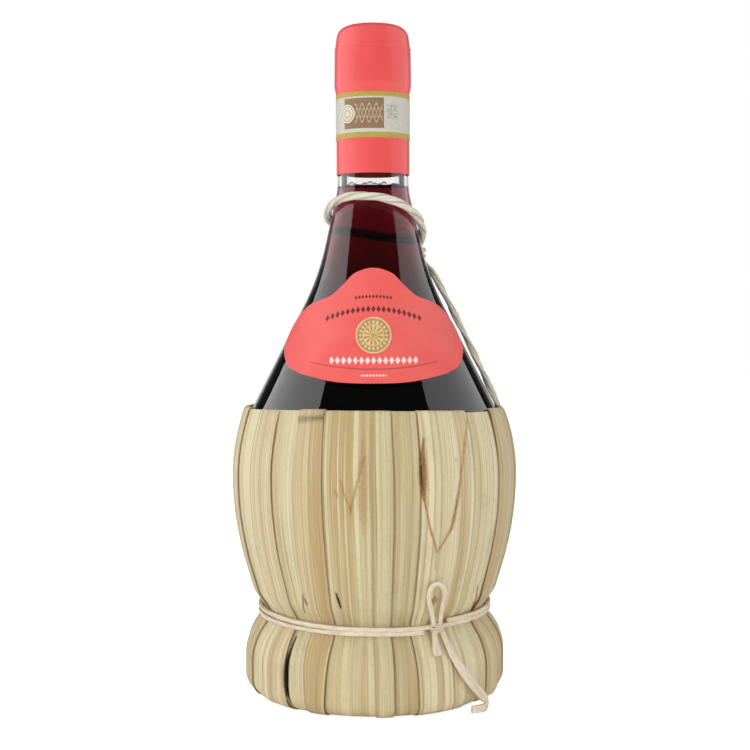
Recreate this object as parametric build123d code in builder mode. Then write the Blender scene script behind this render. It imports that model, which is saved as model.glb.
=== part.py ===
"""A straw-wrapped wine flask: a glass flask with its wine, cork, capsule and labels, standing in a
wrap of dried leaf strips that is drawn in over a rush base ring by a tied waist cord.

Millimetres. +Z is up, the flask's axis is Z, the base stands on z = 0, and the front faces -Y.
A station is a point (r, z) of an outline with the lean of the outline there, in degrees: 0 runs
straight down, a positive lean runs outwards as it goes down, and -90 runs in towards the axis.
"""

import os
from math import acos, asin, atan, cos, degrees, pi, radians, sin, sqrt, tan

from build123d import *

# Glass flask, outer face
flask_top_corner_z = 252.3
flask_lip_radius = 4.3
lip_lean = 8.0
finish_taper = 0.75
finish_height = 20.9
finish_step = 0.4
neck_radius = 13.7
neck_lean = 13.0
belly_radius = 52.8
cone_steepness = 1.3249


def up(height):
    """A height read with the flask's top corner at 252.3, kept in step with that corner."""
    return flask_top_corner_z * height / 252.3


neck_end_z = up(199.0)
neck_taper_z = up(190.0)
shoulder_top_z = up(172.5)
shoulder_end_z = up(150.0)
belly_z = up(84.0)
heel_z = up(37.0)
flask_bottom_z = up(7.295)
finish_radius = neck_radius + finish_step
finish_bottom_z = flask_top_corner_z - finish_height

# Glass wall, bore and contents
glass_wall = 3.5
bore_wall = 4.85
bore_radius = finish_radius - bore_wall
bore_depth = up(45.0)
bore_flare_height = up(6.0)
cork_above_bore_end = 0.75
cork_clearance = 0.05
cork_sunk = 0.25
cork_chamfer = 0.6
wine_level_z = up(195.0)
wine_clearance = 0.06

# Foil capsule, cut under the glass finish, and the paper strip round the neck
foil = 0.35
crown_clearance = 0.2
crown_overhang = 0.2
crown_bottom_z = finish_bottom_z - crown_overhang
crown_ring_drop = 5.1
crown_ring_z = flask_top_corner_z - crown_ring_drop
crown_ring_width = 0.5
crown_ring_depth = 0.12
skirt_clearance = 0.1
skirt_foil = 0.3
skirt_gap = 0.5
skirt_top_z = crown_bottom_z - skirt_gap
skirt_bottom_z = up(199.8)
strip_gap = 0.05
strip_thickness = 0.15
strip_drop = 0.5
strip_top_z = skirt_top_z - strip_drop
strip_bottom_z = up(213.0)

# Front label and its round seal, seen from the front
label_gap = 0.12
label_thickness = 0.16
label_top_z = up(163.6)
label_bottom_z = up(121.5)
label_widest_share = 0.28
label_front_share = 0.9642
seal_radius = 6.6
seal_z = up(138.6)
seal_gap = 0.06
seal_thickness = 0.25

# Leaf wrap: the outer face of its outer layer
wrap_gap = 2.4
wrap_bend_gain = 4.55
wrap_heel_tightening = 3.45
wrap_rim_z = up(109.6)
wrap_belly_z = up(84.5)
wrap_lower_z = up(50.0)
wrap_bend_z = up(41.0)
wrap_bend_drop = up(2.6)
waist_gap = 1.88
waist_z = up(32.5)
waist_flat = 2.0
groove_steepness = 1.2414
flare_steepness = 1.7107
base_flare = 6.9
base_top_z = up(14.0)
base_corner = 7.0
tuck_inset = 16.5
leaf_thickness = 0.42
layer_gap = 0.06
rim_band_thickness = 0.5
rim_band_height = 6.0
hem_depth = 6.6
overlap_angle = 2.2
first_leaf_angle = -90.8

# Visible width of each strip, as a share of the whole way round; the odd ones lie on top
leaf_spans = (
    8.2, 10.8, 22.7, 16.4, 12.7, 11.0, 14.5, 12.5, 16.0, 11.0, 17.0, 12.5, 15.0,
    11.5, 18.0, 13.0, 15.5, 11.0, 16.5, 12.5, 14.5, 13.1, 12.9, 10.2, 11.9, 19.1,
)  # fmt: skip

# Rush ring under the flask
ring_clearance = 0.1
ring_glass_gap = 0.61

# Waist cord, wound twice and tied in a bow at the front
strand_diameter = 1.6
strand_pitch = 2.05
strand_clearance = 0.55
winding_turns = 1.93
arcs_per_turn = 4
tie_diameter = 1.8
knot_angle = -60.16
knot_gap = 2.63
knot_drop = 0.1
knot_half_width = 2.8
knot_half_height = 2.6
knot_half_depth = 2.2
knot_end_share = 0.5

# Neck cord: a loop round the neck, and the stay from its knot down into the rim
loop_diameter = 3.2
stay_diameter = 2.4
neck_knot_angle = 39.68
neck_knot_gap = 3.54
neck_knot_z = up(170.2)
neck_knot_half_width = 3.4
neck_knot_half_height = 3.6
neck_knot_half_depth = 3.0

# How much of its shorter run a cord's bend takes up
bend_share = 0.45

# Worked out: the flask's stations, from the neck down to the middle of its round bottom
taper_radius = neck_radius + (neck_end_z - neck_taper_z) * tan(radians(neck_lean / 2))
shoulder_radius = taper_radius + (neck_taper_z - shoulder_top_z) * tan(radians(neck_lean))
shoulder_lean = degrees(
    atan(cone_steepness * (belly_radius - shoulder_radius) / (shoulder_top_z - belly_z))
)
cone_radius = shoulder_radius + (shoulder_top_z - shoulder_end_z) * tan(
    radians((neck_lean + shoulder_lean) / 2)
)
cone_slope = tan(radians(shoulder_lean))
belly_slope = tan(radians(shoulder_lean / 2))
cone_end_z = (
    cone_radius + shoulder_end_z * cone_slope - belly_z * belly_slope - belly_radius
) / (cone_slope - belly_slope)
cone_end_radius = cone_radius + (shoulder_end_z - cone_end_z) * cone_slope
cone_bend = (cone_end_z - belly_z) / sin(radians(shoulder_lean))
heel_height = belly_z - heel_z
bottom_height = heel_z - flask_bottom_z
heel_sum = belly_radius + heel_height + bottom_height
heel_slope = (
    heel_sum - sqrt(heel_sum**2 - 4 * heel_height * (belly_radius - bottom_height))
) / (2 * heel_height)
heel_lean = 2 * degrees(atan(heel_slope))
heel_radius = belly_radius - heel_height * heel_slope
heel_bend = heel_height / sin(radians(heel_lean))
bottom_bend = bottom_height / (1 - sin(radians(heel_lean)))

flask_stations = [
    (neck_radius, neck_end_z, 0),
    (taper_radius, neck_taper_z, neck_lean),
    (shoulder_radius, shoulder_top_z, neck_lean),
    (cone_radius, shoulder_end_z, shoulder_lean),
    (cone_end_radius, cone_end_z, shoulder_lean),
    (belly_radius, belly_z, 0),
    (heel_radius, heel_z, -heel_lean),
    (0, flask_bottom_z, -90),
]


def station_at(stations, height):
    """The station of an outline at a height, on the line or arc between two of its own."""
    for start, end in zip(stations, stations[1:]):
        if start[1] >= height >= end[1]:
            break
    first, last = radians(start[2]), radians(end[2])
    if start[2] == end[2]:
        return (start[0] + (start[1] - height) * tan(first), height, start[2])
    bend = (start[1] - end[1]) / (sin(last) - sin(first))
    lean = asin(sin(first) + (start[1] - height) / bend)
    return (start[0] + bend * (cos(first) - cos(lean)), height, degrees(lean))


# Worked out: the wrap's stations, from the rim down and in under the base
wrap_belly_radius = belly_radius + wrap_gap
wrap_bend = cone_bend + wrap_bend_gain
wrap_rim_lean = degrees(asin((wrap_rim_z - wrap_belly_z) / wrap_bend))
wrap_lower_lean = degrees(asin((wrap_belly_z - wrap_lower_z) / (heel_bend - wrap_heel_tightening)))
waist_radius = station_at(flask_stations, waist_z)[0] + waist_gap
base_radius = waist_radius + base_flare
tuck_radius = base_radius - tuck_inset
wrap_rim_radius = wrap_belly_radius - (wrap_rim_z - wrap_belly_z) * tan(
    radians(wrap_rim_lean / 2)
)
wrap_lower_radius = wrap_belly_radius - (wrap_belly_z - wrap_lower_z) * tan(
    radians(wrap_lower_lean / 2)
)
wrap_bend_radius = wrap_lower_radius - (wrap_lower_z - wrap_bend_z) * tan(radians(wrap_lower_lean))
groove_top_z = waist_z + waist_flat / 2
groove_bottom_z = waist_z - waist_flat / 2
groove_lean = degrees(
    atan(groove_steepness * (wrap_bend_radius - waist_radius) / (wrap_bend_z - groove_top_z))
)
draw_z = wrap_bend_z - wrap_bend_drop
draw_radius = wrap_bend_radius - wrap_bend_drop * tan(radians((wrap_lower_lean + groove_lean) / 2))
groove_slope = tan(radians(groove_lean))
groove_half_slope = tan(radians(groove_lean / 2))
groove_start_z = (
    waist_radius - groove_top_z * groove_half_slope - draw_radius + draw_z * groove_slope
) / (groove_slope - groove_half_slope)
groove_rise = groove_start_z - groove_top_z
groove_start_radius = waist_radius + groove_rise * groove_half_slope
flare_lean = degrees(atan(flare_steepness * base_flare / (groove_bottom_z - base_top_z)))
flare_slope = tan(radians(flare_lean))
flare_half_slope = tan(radians(flare_lean / 2))
flare_z = groove_bottom_z - groove_rise
flare_radius = waist_radius + groove_rise * flare_half_slope
swell_z = (
    base_radius - flare_radius - flare_z * flare_slope + base_top_z * flare_half_slope
) / (flare_half_slope - flare_slope)
swell_radius = flare_radius + (flare_z - swell_z) * flare_slope

wrap_stations = [
    (wrap_rim_radius, wrap_rim_z, wrap_rim_lean),
    (wrap_belly_radius, wrap_belly_z, 0),
    (wrap_lower_radius, wrap_lower_z, -wrap_lower_lean),
    (wrap_bend_radius, wrap_bend_z, -wrap_lower_lean),
    (draw_radius, draw_z, -groove_lean),
    (groove_start_radius, groove_start_z, -groove_lean),
    (waist_radius, groove_top_z, 0),
    (waist_radius, groove_bottom_z, 0),
    (flare_radius, flare_z, flare_lean),
    (swell_radius, swell_z, flare_lean),
    (base_radius, base_top_z, 0),
    (base_radius, base_corner, 0),
    (base_radius - base_corner, 0, -90),
    (tuck_radius, 0, -90),
]

# Worked out: the layers of the wrap, from the middle of its folded rim outwards
rim_fold_depth = 2 * leaf_thickness + 2 * layer_gap + rim_band_thickness / 2
inner_leaf_faces = (
    rim_band_thickness / 2 + layer_gap,
    rim_band_thickness / 2 + layer_gap + leaf_thickness,
)
outer_leaf_faces = (
    inner_leaf_faces[1] + layer_gap,
    inner_leaf_faces[1] + layer_gap + leaf_thickness,
)


def station_point(station, depth):
    """The point that lies depth inside an outline at one of its stations."""
    radius, height, lean = station
    return (radius - depth * cos(radians(lean)), height - depth * sin(radians(lean)))


def down_direction(station):
    return (sin(radians(station[2])), -cos(radians(station[2])))


def trace_down(stations, depth):
    """Draw an outline through its stations, depth inside it, as tangent lines and arcs."""
    for start, end in zip(stations, stations[1:]):
        first = station_point(start, depth)
        last = station_point(end, depth)
        if start[2] == end[2]:
            Line(first, last)
        else:
            TangentArc(first, last, tangent=down_direction(start))


def rim_station(length):
    """The wrap's station a length down from its rim, along the bend over the belly."""
    lean = radians(wrap_rim_lean) - length / wrap_bend
    return (
        wrap_belly_radius - wrap_bend * (1 - cos(lean)),
        wrap_belly_z + wrap_bend * sin(lean),
        degrees(lean),
    )


def trace_rim_fold(offset, fold_length, outside):
    """Draw a face of the folded rim: up its inner leg, over the fold, and on down outside."""
    inner = rim_fold_depth + offset
    outer = rim_fold_depth - offset
    top = wrap_stations[0]
    low = rim_station(fold_length)
    down = down_direction(top)
    if offset > 0:
        TangentArc(
            station_point(low, inner),
            station_point(top, inner),
            tangent=(-down_direction(low)[0], -down_direction(low)[1]),
        )
        TangentArc(
            station_point(top, inner),
            station_point(top, outer),
            tangent=(-down[0], -down[1]),
        )
    trace_down(outside, outer)


def turned_plane(turn):
    """A plane through the axis, with its X pointing out at a turn from +X towards +Y."""
    out = (cos(radians(turn)), sin(radians(turn)), 0)
    return Plane(origin=(0, 0, 0), x_dir=out, z_dir=(out[1], -out[0], 0))


def make_leaf(name, faces, turn, width):
    """One leaf strip, folded over the rim, drawn in at the waist and tucked under the ring."""
    low = rim_station(hem_depth)
    under = wrap_stations[-1]
    with BuildPart() as leaf:
        with BuildSketch(turned_plane(turn)):
            with BuildLine():
                for offset in faces:
                    trace_rim_fold(offset, hem_depth, wrap_stations)
                Line(
                    station_point(low, rim_fold_depth + faces[0]),
                    station_point(low, rim_fold_depth + faces[1]),
                )
                Line(
                    station_point(under, rim_fold_depth - faces[0]),
                    station_point(under, rim_fold_depth - faces[1]),
                )
            make_face()
        revolve(axis=Axis.Z, revolution_arc=width)
    save(leaf, name)


def save(piece, name):
    piece.part.label = name
    export_step(piece.part, f"parts/{name}.step")


def line_length(line):
    return sum(edge.length for edge in line.edges())


def run_radii(points, name):
    """Bend radii of a cord's route, each taking up its share of the shorter run beside it."""
    radii = []
    corners = [Vector(*point) for point in points]
    for before, corner, after in zip(corners, corners[1:], corners[2:]):
        turn = (corner - before).get_angle(after - corner)
        shorter = min((corner - before).length, (after - corner).length)
        radii.append(bend_share * shorter / tan(radians(turn / 2)))
    print(name, "radii", [round(radius, 1) for radius in radii])
    return radii


def make_cord(name, points, diameter):
    """A round cord along straight runs joined by tangent arcs."""
    with BuildPart() as cord:
        with BuildLine() as route:
            FilletPolyline(*points, radius=run_radii(points, name))
        with BuildSketch(Plane(origin=route.line @ 0, z_dir=route.line % 0)):
            Circle(diameter / 2)
        sweep()
    length = line_length(route)
    expected = pi * diameter**2 / 4 * length
    print(name, "length", round(length, 1), "volume share", round(cord.part.volume / expected, 4))
    save(cord, name)


def make_knot(name, place, half_width, half_height, half_depth):
    """A tied knot as a rounded bead, as wide along the surface behind it as it is told."""
    out = Vector(place[0], place[1]).normalized()
    across = Vector(-out.Y, out.X)
    with BuildPart() as knot:
        with BuildSketch(Plane(origin=place, x_dir=across, z_dir=out)):
            Ellipse(half_width, half_height)
        with BuildSketch(Plane(origin=Vector(*place) + out * half_depth, x_dir=across, z_dir=out)):
            Ellipse(half_width * knot_end_share, half_height * knot_end_share)
        loft()
        with BuildSketch(Plane(origin=place, x_dir=across, z_dir=out)):
            Ellipse(half_width, half_height)
        with BuildSketch(Plane(origin=Vector(*place) - out * half_depth, x_dir=across, z_dir=out)):
            Ellipse(half_width * knot_end_share, half_height * knot_end_share)
        loft()
    save(knot, name)


def trace_neck_inside():
    """Draw the bore, its flare and the inner wall's start, down to the first inner station."""
    bore_end_z = flask_top_z - bore_depth
    flare_end_z = bore_end_z - bore_flare_height
    inner_neck = neck_radius - glass_wall
    Line((bore_radius, flask_top_z), (bore_radius, bore_end_z))
    Line((bore_radius, bore_end_z), (inner_neck, flare_end_z))
    Line((inner_neck, flare_end_z), (inner_neck, neck_end_z))


os.makedirs("parts", exist_ok=True)

# Glass flask
finish_top_radius = finish_radius - finish_taper
lip_middle = (
    finish_top_radius - flask_lip_radius * cos(radians(lip_lean)),
    flask_top_corner_z - flask_lip_radius * sin(radians(lip_lean)),
)
bore_edge_angle = degrees(acos((bore_radius - lip_middle[0]) / flask_lip_radius))
flask_top_z = lip_middle[1] + flask_lip_radius * sin(radians(bore_edge_angle))


def lip_corner(outside):
    """Where the round of the lip ends and the finish's taper starts, at a distance outside it."""
    reach = flask_lip_radius + outside
    return (
        lip_middle[0] + reach * cos(radians(lip_lean)),
        lip_middle[1] + reach * sin(radians(lip_lean)),
    )


def taper_end(outside):
    """Where the finish's taper meets its straight side, at a distance outside it."""
    corner = lip_corner(outside)
    run = finish_radius + outside - corner[0]
    return (finish_radius + outside, corner[1] - run / tan(radians(lip_lean)))


with BuildPart() as flask:
    with BuildSketch(Plane.XZ):
        with BuildLine():
            CenterArc(lip_middle, flask_lip_radius, lip_lean, bore_edge_angle - lip_lean)
            Line(lip_corner(0), taper_end(0))
            Line(taper_end(0), (finish_radius, finish_bottom_z))
            Line((finish_radius, finish_bottom_z), (neck_radius, finish_bottom_z))
            Line((neck_radius, finish_bottom_z), (neck_radius, neck_end_z))
            trace_down(flask_stations, 0)
            Line((0, flask_bottom_z), (0, flask_bottom_z + glass_wall))
            trace_down(flask_stations, glass_wall)
            trace_neck_inside()
        make_face()
    revolve(axis=Axis.Z)
save(flask, "flask")

# Wine, a hair inside the glass
wine_surface = station_at(flask_stations, wine_level_z)
wine_depth = glass_wall + wine_clearance
with BuildPart() as wine:
    with BuildSketch(Plane.XZ):
        with BuildLine():
            top = station_point(wine_surface, wine_depth)
            trace_down([wine_surface] + flask_stations[1:], wine_depth)
            Line((0, flask_bottom_z + wine_depth), (0, top[1]))
            Line((0, top[1]), top)
        make_face()
    revolve(axis=Axis.Z)
save(wine, "wine")
print("wine, ml", round(wine.part.volume / 1000, 1))

# Cork
cork_top_z = flask_top_z - cork_sunk
cork_length = bore_depth - cork_sunk - cork_above_bore_end
with BuildPart() as cork:
    with BuildSketch(Plane.XY.offset(cork_top_z - cork_length)):
        Circle(bore_radius - cork_clearance)
    extrude(amount=cork_length)
    chamfer(cork.edges().filter_by(GeomType.CIRCLE), cork_chamfer)
save(cork, "cork")

# Crown of the capsule, which lifts off with the cork's top bared under it
crown_inner = finish_radius + crown_clearance
crown_outer = crown_inner + foil
crown_top_z = lip_middle[1] + flask_lip_radius + crown_clearance + foil
with BuildPart() as crown:
    with BuildSketch(Plane.XZ):
        with BuildLine():
            for outside in (crown_clearance, crown_clearance + foil):
                reach = flask_lip_radius + outside
                Line((0, lip_middle[1] + reach), (lip_middle[0], lip_middle[1] + reach))
                CenterArc(lip_middle, reach, lip_lean, 90 - lip_lean)
                Line(lip_corner(outside), taper_end(outside))
                Line(taper_end(outside), (finish_radius + outside, crown_bottom_z))
            Line((crown_outer, crown_bottom_z), (crown_inner, crown_bottom_z))
            Line((0, crown_top_z - foil), (0, crown_top_z))
        make_face()
    revolve(axis=Axis.Z)
    with BuildSketch(Plane.XY.offset(crown_ring_z - crown_ring_width / 2)):
        Circle(crown_outer + crown_ring_depth)
        Circle(crown_outer - crown_ring_depth, mode=Mode.SUBTRACT)
    extrude(amount=crown_ring_width, mode=Mode.SUBTRACT)
save(crown, "capsule_crown")


def make_sleeve(name, inner_radius, thickness, bottom_z, top_z):
    with BuildPart() as sleeve:
        with BuildSketch(Plane.XY.offset(bottom_z)):
            Circle(inner_radius + thickness)
            Circle(inner_radius, mode=Mode.SUBTRACT)
        extrude(amount=top_z - bottom_z)
    save(sleeve, name)


# Skirt of the capsule and the paper strip over it
skirt_inner = neck_radius + skirt_clearance
strip_inner = skirt_inner + skirt_foil + strip_gap
make_sleeve("capsule_skirt", skirt_inner, skirt_foil, skirt_bottom_z, skirt_top_z)
make_sleeve("neck_strip", strip_inner, strip_thickness, strip_bottom_z, strip_top_z)

# Front label, a bell outline bent round the shoulder
label_stations = [
    station_at(flask_stations, label_top_z + label_thickness),
    (cone_radius, shoulder_end_z, shoulder_lean),
    station_at(flask_stations, label_bottom_z - label_thickness),
]
label_height = label_top_z - label_bottom_z
label_widest_z = label_bottom_z + label_widest_share * label_height
label_half_width = label_front_share * station_at(flask_stations, label_widest_z)[0]
label_reach = 2 * belly_radius
label_outline_shares = (
    (0.00, 1.000),
    (0.20, 0.955),
    (0.33, 0.853),
    (0.47, 0.753),
    (0.60, 0.712),
    (0.73, 0.660),
    (0.84, 0.565),
    (0.93, 0.449),
    (1.00, label_widest_share),
    (0.95, 0.147),
    (0.84, 0.086),
    (0.64, 0.043),
    (0.36, 0.008),
    (0.00, 0.000),
)
label_side_points = [
    (across * label_half_width, label_bottom_z + up * label_height)
    for across, up in label_outline_shares
]


def trace_label_side(side):
    """Draw one half of the bell, from its top to the middle of its foot."""
    points = [(side * across, height) for across, height in label_side_points]
    Spline(*points, tangents=[(side, 0), (-side, 0)])


with BuildPart() as label:
    with BuildSketch(Plane.XZ):
        with BuildLine():
            trace_down(label_stations, -label_gap)
            trace_down(label_stations, -label_gap - label_thickness)
            for station in (label_stations[0], label_stations[-1]):
                Line(
                    station_point(station, -label_gap),
                    station_point(station, -label_gap - label_thickness),
                )
        make_face()
    revolve(axis=Axis.Z)
    with BuildSketch(Plane.XZ):
        with BuildLine():
            trace_label_side(1)
            trace_label_side(-1)
        make_face()
    extrude(amount=label_reach, mode=Mode.INTERSECT)
save(label, "front_label")

# Round seal on the label
seal_depth = -label_gap - label_thickness - seal_gap
seal_reach = 1.5 * seal_radius
with BuildPart() as seal:
    with BuildSketch(Plane.XZ):
        with BuildLine():
            seal_stations = [
                station_at(flask_stations, seal_z + seal_reach),
                station_at(flask_stations, seal_z - seal_reach),
            ]
            trace_down(seal_stations, seal_depth)
            trace_down(seal_stations, seal_depth - seal_thickness)
            for station in seal_stations:
                Line(
                    station_point(station, seal_depth),
                    station_point(station, seal_depth - seal_thickness),
                )
        make_face()
    revolve(axis=Axis.Z)
    with BuildSketch(Plane.XZ):
        with Locations((0, seal_z)):
            Circle(seal_radius)
    extrude(amount=label_reach, mode=Mode.INTERSECT)
save(seal, "label_seal")

# Hidden band that the leaves fold over at the rim
with BuildPart() as rim_band:
    with BuildSketch(Plane.XZ):
        with BuildLine():
            band_half = rim_band_thickness / 2
            band_low = rim_station(rim_band_height)
            trace_rim_fold(band_half, rim_band_height, [wrap_stations[0], band_low])
            Line(
                station_point(band_low, rim_fold_depth + band_half),
                station_point(band_low, rim_fold_depth - band_half),
            )
        make_face()
    revolve(axis=Axis.Z)
save(rim_band, "rim_band")

# Rush ring that the flask's round bottom rests in
wrap_thickness = 2 * leaf_thickness + layer_gap
ring_inset = wrap_thickness + ring_clearance
corner_out = base_radius - ring_inset
corner_down = flask_bottom_z + bottom_bend - ring_inset
bottom_reach = bottom_bend + ring_glass_gap
ring_sum = corner_out + corner_down + bottom_reach
ring_section = ring_sum - sqrt(
    ring_sum**2 - corner_out**2 - corner_down**2 + bottom_reach**2
)
ring_radius = base_radius - ring_inset - ring_section
print("ring_section", round(ring_section, 3))
with BuildPart() as base_ring:
    with BuildSketch(Plane.XZ):
        with Locations((ring_radius, ring_inset + ring_section)):
            Circle(ring_section)
    revolve(axis=Axis.Z)
save(base_ring, "base_ring")

# Leaf strips, lying on and under their neighbours by turns
leaf_turn = first_leaf_angle
for index, span in enumerate(leaf_spans):
    width = 360 * span / sum(leaf_spans)
    leaf_name = f"leaf_{index + 1:02d}"
    if index % 2 == 0:
        make_leaf(leaf_name, outer_leaf_faces, leaf_turn, width)
    else:
        make_leaf(
            leaf_name, inner_leaf_faces, leaf_turn - overlap_angle, width + 2 * overlap_angle
        )
    leaf_turn += width

# Waist cord, two turns of one strand
winding_radius = waist_radius + strand_clearance + strand_diameter / 2


def winding_point(turns):
    """The strand's middle after some turns, counted from under the knot, halfway round."""
    angle = radians(knot_angle) + 2 * pi * turns
    return Vector(
        winding_radius * cos(angle), winding_radius * sin(angle), waist_z - strand_pitch * turns
    )


def winding_direction(turns):
    angle = radians(knot_angle) + 2 * pi * turns
    climb = strand_pitch / (2 * pi)
    return Vector(
        -winding_radius * sin(angle), winding_radius * cos(angle), -climb
    ).normalized()


def add_biarc(start, start_way, end, end_way):
    """Two arcs that meet smoothly between two points with a direction each."""
    chord = end - start
    both = start_way + end_way
    bend = 2 * (1 - start_way.dot(end_way))
    reach = (sqrt(chord.dot(both) ** 2 + bend * chord.dot(chord)) - chord.dot(both)) / bend
    middle = (start + end + (start_way - end_way) * reach) * 0.5
    first = TangentArc(start, middle, tangent=start_way)
    TangentArc(middle, end, tangent=first % 1)


with BuildPart() as waist_cord:
    with BuildLine() as winding:
        steps = round(winding_turns * arcs_per_turn)
        stops = [winding_turns * (step / steps - 0.5) for step in range(steps + 1)]
        first_way = winding_direction(stops[0])
        last_way = winding_direction(stops[-1])
        Line(winding_point(stops[0]) - first_way * strand_diameter, winding_point(stops[0]))
        for before, after in zip(stops, stops[1:]):
            add_biarc(
                winding_point(before),
                winding_direction(before),
                winding_point(after),
                winding_direction(after),
            )
        Line(winding_point(stops[-1]), winding_point(stops[-1]) + last_way * strand_diameter)
    with BuildSketch(Plane(origin=winding.line @ 0, z_dir=winding.line % 0)):
        Circle(strand_diameter / 2)
    sweep()
save(waist_cord, "waist_cord")
samples = round(line_length(winding))
measured = [winding.line @ (step / samples) for step in range(samples + 1)]
one_turn = int(samples / winding_turns)
closest = min(
    (first - second).length
    for index, first in enumerate(measured)
    for second in measured[index + one_turn // 2 :]
)
print("waist_cord least gap to itself", round(closest - strand_diameter, 2))
print("waist_cord length", round(line_length(winding), 1))


def off_axis(turn, radius, height):
    """A point by its turn from +X towards +Y, its distance from the axis and its height."""
    return (radius * cos(radians(turn)), radius * sin(radians(turn)), height)


def by_waist(turn, height, gap):
    """A point of the waist's tie, its gap from the waist in diameters of the tie."""
    return off_axis(turn, waist_radius + gap * tie_diameter, up(height))


def by_flask(turn, height, gap):
    """A point of the neck cord, its gap from the glass in diameters of the loop."""
    glass_radius = station_at(flask_stations, up(height))[0]
    return off_axis(turn, glass_radius + gap * loop_diameter, up(height))


# Knot, bow and tails of the waist cord
knot_place = off_axis(knot_angle, waist_radius + knot_gap, waist_z - knot_drop)
bow_points = (
    by_waist(-62.28, 33.2, 1.697),
    by_waist(-64.91, 39.5, 2.769),
    by_waist(-67.53, 44.6, 3.974),
    by_waist(-67.28, 48.2, 4.688),
    by_waist(-65.83, 49.8, 4.947),
    by_waist(-63.39, 49.8, 4.921),
    by_waist(-61.36, 48.2, 4.642),
    by_waist(-59.69, 44.6, 3.963),
    by_waist(-59.95, 39.5, 2.735),
    by_waist(-59.37, 33.2, 1.732),
)
short_tail_points = (
    by_waist(-62.12, 30.7, 1.673),
    by_waist(-62.91, 26.6, 2.736),
    by_waist(-62.98, 22.8, 3.779),
)
long_tail_points = (
    by_waist(-58.34, 30.8, 1.819),
    by_waist(-57.41, 26.4, 3.009),
    by_waist(-55.04, 20.8, 4.383),
    by_waist(-50.35, 14.4, 4.856),
    by_waist(-44.69, 8.4, 5.162),
    by_waist(-40.49, 4.2, 5.726),
    by_waist(-41.85, 1.9, 6.505),
    by_waist(-44.85, 1.3, 6.262),
    by_waist(-48.19, 1.2, 5.444),
)
make_knot("waist_knot", knot_place, knot_half_width, knot_half_height, knot_half_depth)
make_cord("bow_loop", bow_points, tie_diameter)
make_cord("short_tail", short_tail_points, tie_diameter)
make_cord("long_tail", long_tail_points, tie_diameter)

# Neck cord
loop_points = (
    by_flask(45.00, 170.5, 0.790),
    by_flask(74.98, 173.0, 0.805),
    by_flask(105.06, 176.5, 0.799),
    by_flask(135.00, 180.0, 0.776),
    by_flask(165.15, 183.5, 0.781),
    by_flask(195.06, 187.5, 0.752),
    by_flask(225.00, 190.6, 0.743),
    by_flask(254.98, 191.0, 0.773),
    by_flask(284.93, 190.2, 0.749),
    by_flask(315.00, 187.5, 0.742),
    by_flask(345.01, 182.5, 0.777),
    by_flask(374.99, 176.0, 0.794),
    by_flask(397.99, 171.5, 0.763),
)
stay_points = (
    by_flask(37.36, 168.2, 1.106),
    by_flask(25.35, 165.5, 0.772),
    by_flask(12.53, 159.8, 0.999),
    by_flask(4.15, 112.5, 0.708),
    by_flask(3.95, 109.0, 0.511),
)
neck_knot_radius = station_at(flask_stations, neck_knot_z)[0] + neck_knot_gap
make_cord("neck_loop", loop_points, loop_diameter)
make_cord("neck_stay", stay_points, stay_diameter)
make_knot(
    "neck_knot",
    off_axis(neck_knot_angle, neck_knot_radius, neck_knot_z),
    neck_knot_half_width,
    neck_knot_half_height,
    neck_knot_half_depth,
)
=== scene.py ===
"""Looks of a straw-wrapped wine flask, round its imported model.

Metres, +Z up, the front faces -Y. Lengths are written in millimetres times MM. Angles round the
axis, called turns, are in degrees from +X towards +Y, so the front is at -90.
"""

import math
import random

import bmesh
import bpy
import numpy as np
from mathutils import Matrix, Vector, noise


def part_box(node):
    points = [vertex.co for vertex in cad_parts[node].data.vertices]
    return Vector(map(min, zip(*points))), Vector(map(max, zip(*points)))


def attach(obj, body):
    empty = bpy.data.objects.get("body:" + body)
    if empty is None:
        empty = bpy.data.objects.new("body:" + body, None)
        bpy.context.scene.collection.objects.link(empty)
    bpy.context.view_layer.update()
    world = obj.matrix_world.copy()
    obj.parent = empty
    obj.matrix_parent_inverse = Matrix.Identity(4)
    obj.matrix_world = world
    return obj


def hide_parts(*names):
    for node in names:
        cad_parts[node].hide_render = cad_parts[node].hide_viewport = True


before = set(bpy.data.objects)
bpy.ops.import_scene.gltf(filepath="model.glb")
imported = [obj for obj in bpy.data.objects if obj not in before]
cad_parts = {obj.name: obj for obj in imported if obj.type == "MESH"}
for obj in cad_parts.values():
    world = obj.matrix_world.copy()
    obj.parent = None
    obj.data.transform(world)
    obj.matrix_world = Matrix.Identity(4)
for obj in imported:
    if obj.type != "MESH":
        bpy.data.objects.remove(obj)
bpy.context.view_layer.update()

MM = 0.001
FRONT = -90.0

# Camera, from the ellipses of the rim, waist and base in the photograph
CAMERA_DISTANCE = 535 * MM
CAMERA_HEIGHT = 152 * MM
CAMERA_SIDE = 0.5 * MM
CAMERA_TILT = 3.17
CAMERA_ROLL = -0.2
CAMERA_LENS = 65.8
SENSOR = 36.0
CLIP_START = 10 * MM

# Studio: lamp powers in watts, the room's brightness and what the glass mirrors of it
LEFT_PANEL = 7.5
RIGHT_PANEL = 5.4
LEFT_POWER = 7.4
RIGHT_POWER = 7.3
FRONT_POWER = 1.65
LOW_POWER = 1.45
TOP_POWER = 2.4
ROOM_LIGHT = 0.22
ROOM_GLOSS = 0.03
BACKDROP_EDGE = 0.88
BACKDROP_FADE = 12.0
FLOOR_GLOW = 0.80
FLOOR_REACH = 3000 * MM

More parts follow.
